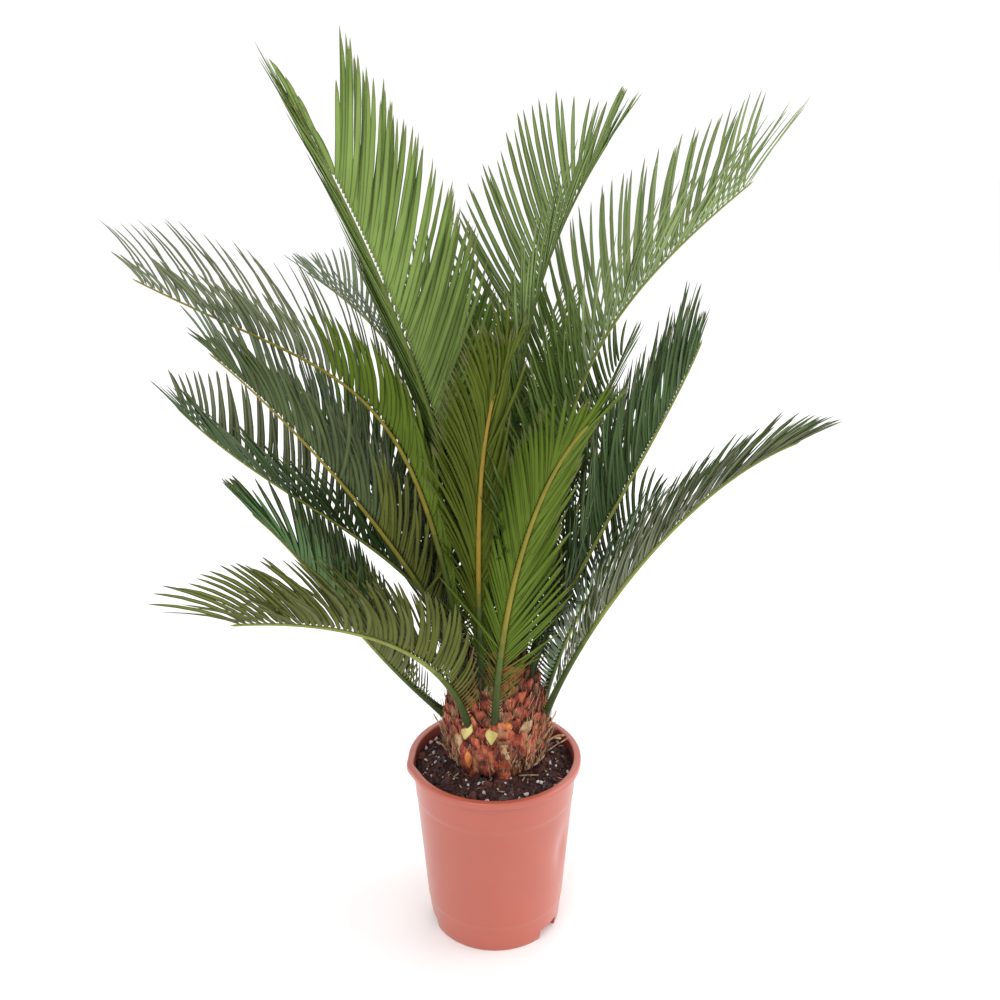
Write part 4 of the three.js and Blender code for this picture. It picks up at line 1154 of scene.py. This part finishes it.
# count, lowest, highest, longest, widest, lift, spread and middle direction of the papery patches
HUSK_PATCHES = (
    (130, 6, 74, 26, 2.6, 0.35, 34, 188), (150, 6, 80, 26, 2.8, 0.4, 36, -20),
    (160, 6, 90, 24, 2.4, 0.35, 75, 90), (90, 6, 90, 22, 1.8, 0.3, 70, -90),
    (34, 8, 56, 30, 6, 1.1, 26, -32),
)
# direction, height, length, width, curl, sideways turn, lift and kind of the loose flakes
FLAKES = (
    (-83, 47, 15, 10, 15, 0.1, 0.3, 3), (-80, 39, 12, 9, 12, -0.3, 0.4, 3), (-20, 16, 30, 6, 8, 0.6, 0.9, 0),
    (-27, 34, 24, 8, 10, 0.3, 1.1, 1), (-14, 28, 22, 8, 9, 0.5, 1.0, 1), (-34, 40, 26, 6, 8, 0.2, 0.5, 0),
    (-22, 48, 22, 5, 8, 0.4, 0.8, 2), (-63, 4, 24, 7, 8, 0.9, 0.7, 0), (-46, 12, 20, 6, 8, 0.4, 0.5, 2),
    (196, 40, 24, 5, 8, -0.2, 0.4, 0), (206, 22, 22, 6, 8, -0.3, 0.3, 1), (-58, 56, 18, 5, 8, 0.3, 0.6, 1),
)
# direction, height, length, width, height over the trunk and inward tilt of the smooth pads
PALE_PADS = ((237, 61, 20, 15, 5.0, -0.1), (265, 59, 18, 13, 4.6, -0.1))
ORANGE_PADS = ((240, 26, 22, 9, 2.6, 0.0), (284, 66, 13, 9, 2.4, 0.0))
PAD_DEPTH = 5


def flake_row(angle, height, long, wide, curl, turn, lift, kind):
    place, out, rise = on_trunk(angle, height, 3.0)
    run = unit(rise + out * lift + np.cross(UP, heading(angle)) * turn)
    return place, aim_from(run, out), (long * MM, wide * MM, curl * MM), kind


def pad_row(angle, height, long, wide, off, tilt):
    place, out, rise = on_trunk(angle, height, off)
    return place, aim_from(unit(rise + out * tilt), out), (long * MM, wide * MM, PAD_DEPTH * MM), 0


def bract_rows(dice, count):
    """Narrow pointed bracts that stand among the stalks at the trunk's top."""
    rows = []
    for k in range(count):
        out = heading(BRACT_TURN * k)
        radius = mix(10, 42, (k + 0.5) / count)
        z = TRUNK_FOOT + mix(132, 80, (k + 0.5) / count) + dice.uniform(-4, 4)
        place = np.array([TRUNK_X, TRUNK_Y, z]) + out * radius
        run = unit(UP + out * dice.uniform(0.1, 0.4) + heading(dice.uniform(0, 360)) * 0.08)
        size = (dice.uniform(34, 66) * MM, dice.uniform(4, 9) * MM, 6 * MM)
        rows.append((place, aim_from(run, out), size, dice.randrange(4)))
    return rows


# ------------------------------------------------------------------ soil
def crumb_shape(name, radius, rough, dice, flat, splits, long):
    ball = bmesh.new()
    bmesh.ops.create_icosphere(ball, subdivisions=splits, radius=radius)
    shift = Vector((dice.uniform(0, 50), dice.uniform(0, 50), dice.uniform(0, 50)))
    for corner in ball.verts:
        d = corner.co.normalized()
        coarse = rough * noise.noise(d * 1.7 + shift)
        corner.co = d * radius * (1 + coarse + 0.5 * rough * noise.noise(d * 4 + shift))
        corner.co.z *= flat
        corner.co.x *= long
    mesh = bpy.data.meshes.new(name)
    ball.to_mesh(mesh)
    ball.free()
    return placed(name, mesh)


def soil_level(x, y):
    """The lumpy level of the soil, falling towards the pot's wall."""
    reach = math.hypot(x, y)
    fallen = clamp01((reach - SOIL_LEVEL_REACH) / (LIP_INNER_RADIUS - SOIL_LEVEL_REACH))
    level = mix(SOIL_TOP_HEIGHT, SOIL_EDGE_HEIGHT, fallen)
    lumps = 1.9 * noise.noise(Vector((x, y, 3)) * 0.09) + 1.3 * noise.noise(Vector((x, y, 9)) * 0.23)
    return level - 1.2 + lumps + 0.6 * noise.noise(Vector((x, y, 17)) * 0.6)


def soil_relief():
    """The soil in the pot as one closed body with a lumpy face, cut round the foot pockets."""
    around = round_angles(POT_SIDES)
    edge = LIP_INNER_RADIUS - 0.5
    floor = float(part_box("soil")[0][2]) / MM
    foot_part = clamp01((floor - POT_FLOOR) / (SOIL_EDGE_HEIGHT - POT_FLOOR))
    foot = mix(POT_BASE_RADIUS - POT_WALL, edge, foot_part)
    points = [(0, 0, soil_level(0, 0))]
    for r in range(1, SOIL_RINGS + 1):
        for a in around:
            x, y = edge * r / SOIL_RINGS * math.cos(a), edge * r / SOIL_RINGS * math.sin(a)
            points.append((x, y, soil_level(x, y)))
    for level in range(SOIL_SIDE_LEVELS):
        z = mix(SOIL_EDGE_HEIGHT - 8, floor, level / (SOIL_SIDE_LEVELS - 1))
        depth_part = (SOIL_EDGE_HEIGHT - z) / (SOIL_EDGE_HEIGHT - floor)
        for a in around:
            reach = mix(edge, foot, depth_part) - 0.6 - dent_at(a, z)
            points.append((reach * math.cos(a), reach * math.sin(a), z))
    faces = fan_faces(0, 1, POT_SIDES)
    faces += tube_faces(SOIL_RINGS + SOIL_SIDE_LEVELS - 1, POT_SIDES, start=1)
    faces.append(tuple(reversed(range(len(points) - POT_SIDES, len(points)))))
    piece = solid("soil_relief", points, faces)
    inner = POT_BASE_RADIUS - FOOT_POCKET_DEPTH - POT_WALL - 0.5
    half = FOOT_POCKET_HALF_WIDTH + POT_WALL + 0.5
    for angle in FOOT_POCKET_ANGLES:
        block = pot_block(angle, inner, POT_BASE_RADIUS + 12, half, -1, FOOT_POCKET_HEIGHT + POT_WALL + 0.5)
        boolean(piece, block, "DIFFERENCE")
    piece.data.materials.append(SOIL_DARK)
    return piece


def soil_face(lift, reach):
    """The open ring of soil between the trunk and a circle inside the pot's wall."""
    sides = 72
    rings = 8
    points = []
    for r in range(rings + 1):
        for a in round_angles(sides):
            inner = Vector((
                TRUNK_X + SOIL_UNDER_TRUNK * math.cos(a), TRUNK_Y + SOIL_UNDER_TRUNK * math.sin(a)))
            at = inner.lerp(Vector((reach * math.cos(a), reach * math.sin(a))), r / rings)
            points.append((at.x, at.y, soil_level(at.x, at.y) + lift))
    return solid("soil_face", points, tube_faces(rings, sides))


# What is strewn on the soil: how many shapes, their radius, roughness and finishes, then how many lie
# on a square metre, how large, and how far they may tilt, stand up and reach out.
USUAL_GRAIN = dict(rough=0.8, flat=0.8, splits=1, long=1.0, tilt=math.pi, lift=0.0, reach=84)
STREWN = (
    dict(USUAL_GRAIN, name="soil_clods", kind="clod", shapes=6, radius=4.2, splits=2, seed=11, reach=81,
         finishes=(SOIL_DARK, SOIL_BROWN, SOIL_WET), density=11000.0, sizes=(0.45, 1.45)),
    dict(USUAL_GRAIN, name="soil_crumbs", kind="crumb", shapes=5, radius=1.5, seed=12, lift=0.8,
         finishes=(SOIL_BROWN, SOIL_DARK), density=60000.0, sizes=(0.5, 1.4)),
    dict(USUAL_GRAIN, name="perlite_bits", kind="grit", shapes=3, radius=1.5, long=1.3, seed=13, lift=2.6,
         reach=83, finishes=(PERLITE,), density=3800.0, sizes=(0.35, 1.5)),
    dict(USUAL_GRAIN, name="straw_chips", kind="chip", shapes=2, radius=0.9, rough=0.4, flat=0.5, long=4.5,
         seed=14, lift=2.2, reach=82, tilt=0.5, finishes=(CHIP_TAN,), density=2800.0, sizes=(0.5, 1.3)),
)


def strewn(tree, grain):
    """One kind of crumb, strewn on the soil between the trunk and the pot."""
    dice = random.Random(len(grain["kind"]) * 17)
    finishes = grain["finishes"]
    shapes = []
    for k in range(grain["shapes"]):
        crumb = crumb_shape(f"{grain['kind']}_{k}", grain["radius"] * MM, grain["rough"], dice,
                            grain["flat"], grain["splits"], grain["long"])
        shapes.append(marked(crumb, k % len(finishes)))
    piece = soil_face(grain["lift"], grain["reach"])
    piece.name = grain["name"]
    first, second, third = [finishes[k % len(finishes)] for k in range(len(GRAIN_FINISHES))]
    smallest, largest = grain["sizes"]
    return tree.grow(piece, Kinds=kinds_of(grain["kind"], shapes), Kind_Count=len(shapes),
                     Density=grain["density"], Smallest=smallest, Largest=largest, Tilt=grain["tilt"],
                     Seed=grain["seed"], First_Finish=first, Second_Finish=second, Third_Finish=third)


# ------------------------------------------------------------------ pot
def wall_radius(z):
    return mix(POT_BASE_RADIUS + 1.6, 89.6, z / (POT_HEIGHT - LIP_DEPTH))


def arc(middle_radius, middle_height, radius, turns):
    return [(middle_radius + radius * math.cos(rad(turn)), middle_height + radius * math.sin(rad(turn)))
            for turn in turns]


def pot_outline():
    """Radius and height pairs from the underside's middle up the outside, over the lip and down inside."""
    base = POT_BASE_RADIUS
    lip_bottom = POT_HEIGHT - LIP_DEPTH
    band_radius = wall_radius(BAND_STEP_HEIGHT) - 0.5
    line = [(0, 0), (40, 0), (base - 1.4, 0), (base - 0.5, 0.3), (base, 1.2)]
    line += [(mix(base, band_radius, z / BAND_STEP_HEIGHT), z) for z in range(6, BAND_STEP_HEIGHT, 5)]
    line.append((band_radius, BAND_STEP_HEIGHT))
    line.append((wall_radius(BAND_STEP_HEIGHT + 1.4), BAND_STEP_HEIGHT + 1.4))
    line += [(wall_radius(z), z) for z in range(38, COLLAR_STEP_HEIGHT, 6)]
    line.append((wall_radius(COLLAR_STEP_HEIGHT), COLLAR_STEP_HEIGHT))
    for z in (COLLAR_STEP_HEIGHT + 1.2, *range(172, 200, 6), lip_bottom):
        line.append((wall_radius(z) + COLLAR_STEP, z))
    line += arc(POT_LIP_RADIUS - 1.5, lip_bottom + 1.5, 1.5, (-90, -60, -30, 0))
    line += arc(POT_LIP_RADIUS - LIP_EDGE_RADIUS, POT_HEIGHT - LIP_EDGE_RADIUS, LIP_EDGE_RADIUS,
                (0, 22, 45, 68, 90))
    line += arc(LIP_INNER_RADIUS + 2, POT_HEIGHT - 2, 2, (90, 120, 150, 180))
    inner_foot = wall_radius(BAND_STEP_HEIGHT) - POT_WALL - 0.8
    for step in range(15):
        line.append(blended((LIP_INNER_RADIUS, lip_bottom - 6), (inner_foot, BAND_STEP_HEIGHT), step / 14))
    return line + [(base - POT_WALL, POT_FLOOR), (0, POT_FLOOR)]


def away_from(angle, middle):
    """Degrees from a direction to an angle in radians."""
    return (math.degrees(angle) - middle + 180) % 360 - 180


def dent_at(angle, z):
    """Shallow flats that the soft wall has taken, in millimetres inwards."""
    return sum(depth * math.exp(-(away_from(angle, middle) / wide) ** 2 - ((z - height) / tall) ** 2)
               for middle, height, wide, tall, depth in DENTS)


def kink_at(angle):
    """Where the lip has been bent outwards, in millimetres."""
    middle, wide, reach = LIP_KINK
    return reach * math.exp(-(away_from(angle, middle) / wide) ** 2)


def pot_block(angle, inner, outer, half, low, high):
    """A box that stands across the foot of the wall at one direction."""
    c, s = math.cos(rad(angle)), math.sin(rad(angle))
    corners = [(x * c - y * s, x * s + y * c, z)
               for x in (inner, outer) for y in (-half, half) for z in (low, high)]
    faces = [(0, 1, 3, 2), (4, 6, 7, 5), (0, 4, 5, 1), (2, 3, 7, 6), (0, 2, 6, 4), (1, 5, 7, 3)]
    return solid("block", corners, faces, smooth=False)


def boolean(piece, other, operation):
    cut = piece.modifiers.new("cut", "BOOLEAN")
    cut.operation = operation
    cut.solver = "EXACT"
    cut.object = other
    plain_mesh(piece)
    bpy.data.objects.remove(other)


def pot_shell():
    """The thin-walled pot, dented and kinked, with open pockets that have a wall and a roof."""
    rings = pot_outline()[1:-1]
    points = [(0, 0, 0)]
    for r, z in rings:
        for a in round_angles(POT_SIDES):
            reach = r - (dent_at(a, z) if r > 60 and 2 < z < 195 else 0)
            reach += kink_at(a) if z > POT_HEIGHT - LIP_DEPTH - 0.5 else 0
            points.append((reach * math.cos(a), reach * math.sin(a), z))
    points.append((0, 0, POT_FLOOR))
    faces = fan_faces(0, 1, POT_SIDES, flip=True)
    faces += tube_faces(len(rings) - 1, POT_SIDES, start=1, flip=True)
    faces += fan_faces(len(points) - 1, len(points) - 1 - POT_SIDES, POT_SIDES)
    pot = solid("pot_shell", points, faces)
    inner = POT_BASE_RADIUS - FOOT_POCKET_DEPTH
    half = FOOT_POCKET_HALF_WIDTH
    roof = FOOT_POCKET_HEIGHT + POT_WALL
    for angle in FOOT_POCKET_ANGLES:
        for outer, low in ((POT_BASE_RADIUS - 3.5, 1), (POT_BASE_RADIUS - 0.9, FOOT_POCKET_HEIGHT)):
            boolean(pot, pot_block(angle, inner - POT_WALL, outer, half + POT_WALL, low, roof), "UNION")
        hollow = pot_block(angle, inner, POT_BASE_RADIUS + 12, half, -1, FOOT_POCKET_HEIGHT)
        boolean(pot, hollow, "DIFFERENCE")
    pot.data.materials.clear()
    pot.data.materials.append(POT_PLASTIC)
    pot.data.materials.append(POT_INSIDE_SHADE)
    # Faces of the inner wall take the darker inside finish: painted shade.
    for face in pot.data.polygons:
        x, y, z = face.center / MM
        r = math.hypot(x, y)
        faces_in = z > POT_FLOOR - 0.5 and face.normal.dot(Vector((x, y, 0)).normalized()) < 0.1
        in_pocket = z < FOOT_POCKET_HEIGHT + 0.1 and r > inner - 1
        below_lip = r < LIP_INNER_RADIUS + 0.6 and z < POT_HEIGHT - 3
        face.material_index = 1 if faces_in and below_lip and not in_pocket else 0
        face.use_smooth = True
    pot.data.set_sharp_from_angle(angle=rad(38))
    return pot


# ------------------------------------------------------------------ building
def build_crown(fixed_tree):
    leaflets = leaflet_kinds()
    tree = leaflet_tree()
    by_finish = {}
    nodes_of = {}
    ribs = []
    spines = []
    for number, row in enumerate(FRONDS):
        dice = random.Random(100 + number)
        rib = Rib(row)
        for leaflet in growing_points(rib, dice):
            by_finish.setdefault(leaflet[-1], []).append(leaflet)
        nodes_of.setdefault(row["finish"], []).append("frond_" + row["name"])
        ribs.append(rib_piece(rib))
        spines += spine_rows(rib, dice)
    for finish, rows in by_finish.items():
        piece = point_piece("leaflets_" + finish, rows, LEAFLET_FIELDS)
        tree.grow(piece, Leaflet_Kinds=leaflets, **LEAF_MATERIALS[finish])
        belongs(piece, "frond", *nodes_of.get(finish, []))
    belongs(joined("frond_ribs", ribs), "frond")
    piece = point_piece("stalk_spines", spines)
    fixed_tree.grow(piece, Kinds=spine_kinds(), Finish=SPINE_TAN)
    belongs(piece, "frond")


def build_trunk(fixed_tree):
    dice = random.Random(7)
    belongs(trunk_core(), "caudex", "caudex")
    scales = solid("leaf_base_scales", [(0, 0, 0)], [])
    scale_tree().grow(
        scales, Scale_Kinds=scale_kinds(), Scale_Count=230, Trunk_Height=0.128, Trunk_Radius=0.0572,
        Scale_Size=0.84, Lean=0.10, Seed=5, Crown_Part=0.5,
        Centre=(TRUNK_X * MM, TRUNK_Y * MM, (TRUNK_FOOT + 9) * MM),
        **{tone.title(): finish for tone, finish in SCALE_TONES.items()})
    belongs(scales, "caudex")
    curls_and_tapers = ((0.5, 0.6), (1.4, 0.8), (-0.5, 0.7), (2.6, 0.5))
    husks = kinds_of("husk", [strip_shape(f"husk_{k}", *ways) for k, ways in enumerate(curls_and_tapers)])
    pads = kinds_of("pad", [pad_shape("pad_0")])
    papery = [row for patch in HUSK_PATCHES for row in husk_rows(dice, *patch)]
    papery += [flake_row(*flake) for flake in FLAKES]
    for name, rows, kinds, finish in (
        ("papery_husks", papery, husks, HUSK_TAN),
        ("bark_fibres", husk_rows(dice, 620, 4, 104, 26, 2.0, 0.26), husks, HUSK_BROWN),
        ("crown_bracts", bract_rows(dice, 120), husks, BRACT_BROWN),
        ("pale_stalk_bases", [pad_row(*pad) for pad in PALE_PADS], pads, STALK_PALE),
        ("orange_bases", [pad_row(*pad) for pad in ORANGE_PADS], pads, PAD_ORANGE),
    ):
        piece = point_piece(name, rows)
        fixed_tree.grow(piece, Kinds=kinds, Finish=finish)
        belongs(piece, "caudex")


def build_soil():
    belongs(soil_relief(), "soil", "soil")
    tree = scatter_tree()
    for grain in STREWN:
        belongs(strewn(tree, grain), "soil")


def build_studio():
    reach = 6000
    corners = [(-reach, -reach, 0), (reach, -reach, 0), (reach, reach, 0), (-reach, reach, 0)]
    floor = solid("studio_floor", corners, [(0, 1, 2, 3)])
    floor.data.materials.append(principled("studio_floor", (0.95, 0.95, 0.95), 0.9, 0.1)[0])
    world = bpy.data.worlds.new("studio")
    bpy.context.scene.world = world
    world.use_nodes = True
    world.node_tree.nodes["Background"].inputs["Color"].default_value = (1, 1, 1, 1)
    world.node_tree.nodes["Background"].inputs["Strength"].default_value = 1.05
    for name, place, size, power in (
        ("key_light", (-0.8, -1.9, 2.4), 1.6, 19), ("side_light", (1.9, 0.1, 0.9), 1.6, 18),
        ("back_light", (0.4, 1.6, 2.2), 1.4, 8),
    ):
        lamp = bpy.data.lights.new(name, "AREA")
        lamp.shape = "SQUARE"
        lamp.size = size
        lamp.energy = power
        stand = placed(name, lamp)
        stand.location = place
        stand.rotation_euler = (Vector((0, 0, 0.5)) - Vector(place)).to_track_quat("-Z", "Y").to_euler()
    bpy.context.scene.view_settings.view_transform = "Standard"


def build_camera():
    """Looks down on the plant from in front, with a slight roll."""
    pitch, roll = rad(CAMERA_PITCH), rad(CAMERA_ROLL)
    forward = Vector((0, math.cos(pitch), -math.sin(pitch)))
    right = Vector((1, 0, 0))
    up = Vector((0, math.sin(pitch), math.cos(pitch)))
    across = right * math.cos(roll) + up * math.sin(roll)
    upward = up * math.cos(roll) - right * math.sin(roll)
    lens = bpy.data.cameras.new("camera")
    lens.sensor_width = SENSOR_WIDTH
    lens.lens = FOCAL_LENGTH / PICTURE_WIDTH * SENSOR_WIDTH
    stand = placed("camera", lens)
    turn = Matrix((across, upward, -forward)).transposed().to_4x4()
    stand.matrix_world = Matrix.Translation(CAMERA_PLACE) @ turn
    bpy.context.scene.camera = stand


build_camera()
build_studio()
belongs(pot_shell(), "pot", "pot")
build_soil()
placing = placed_tree()
build_crown(placing)
build_trunk(placing)
remove_shapes()
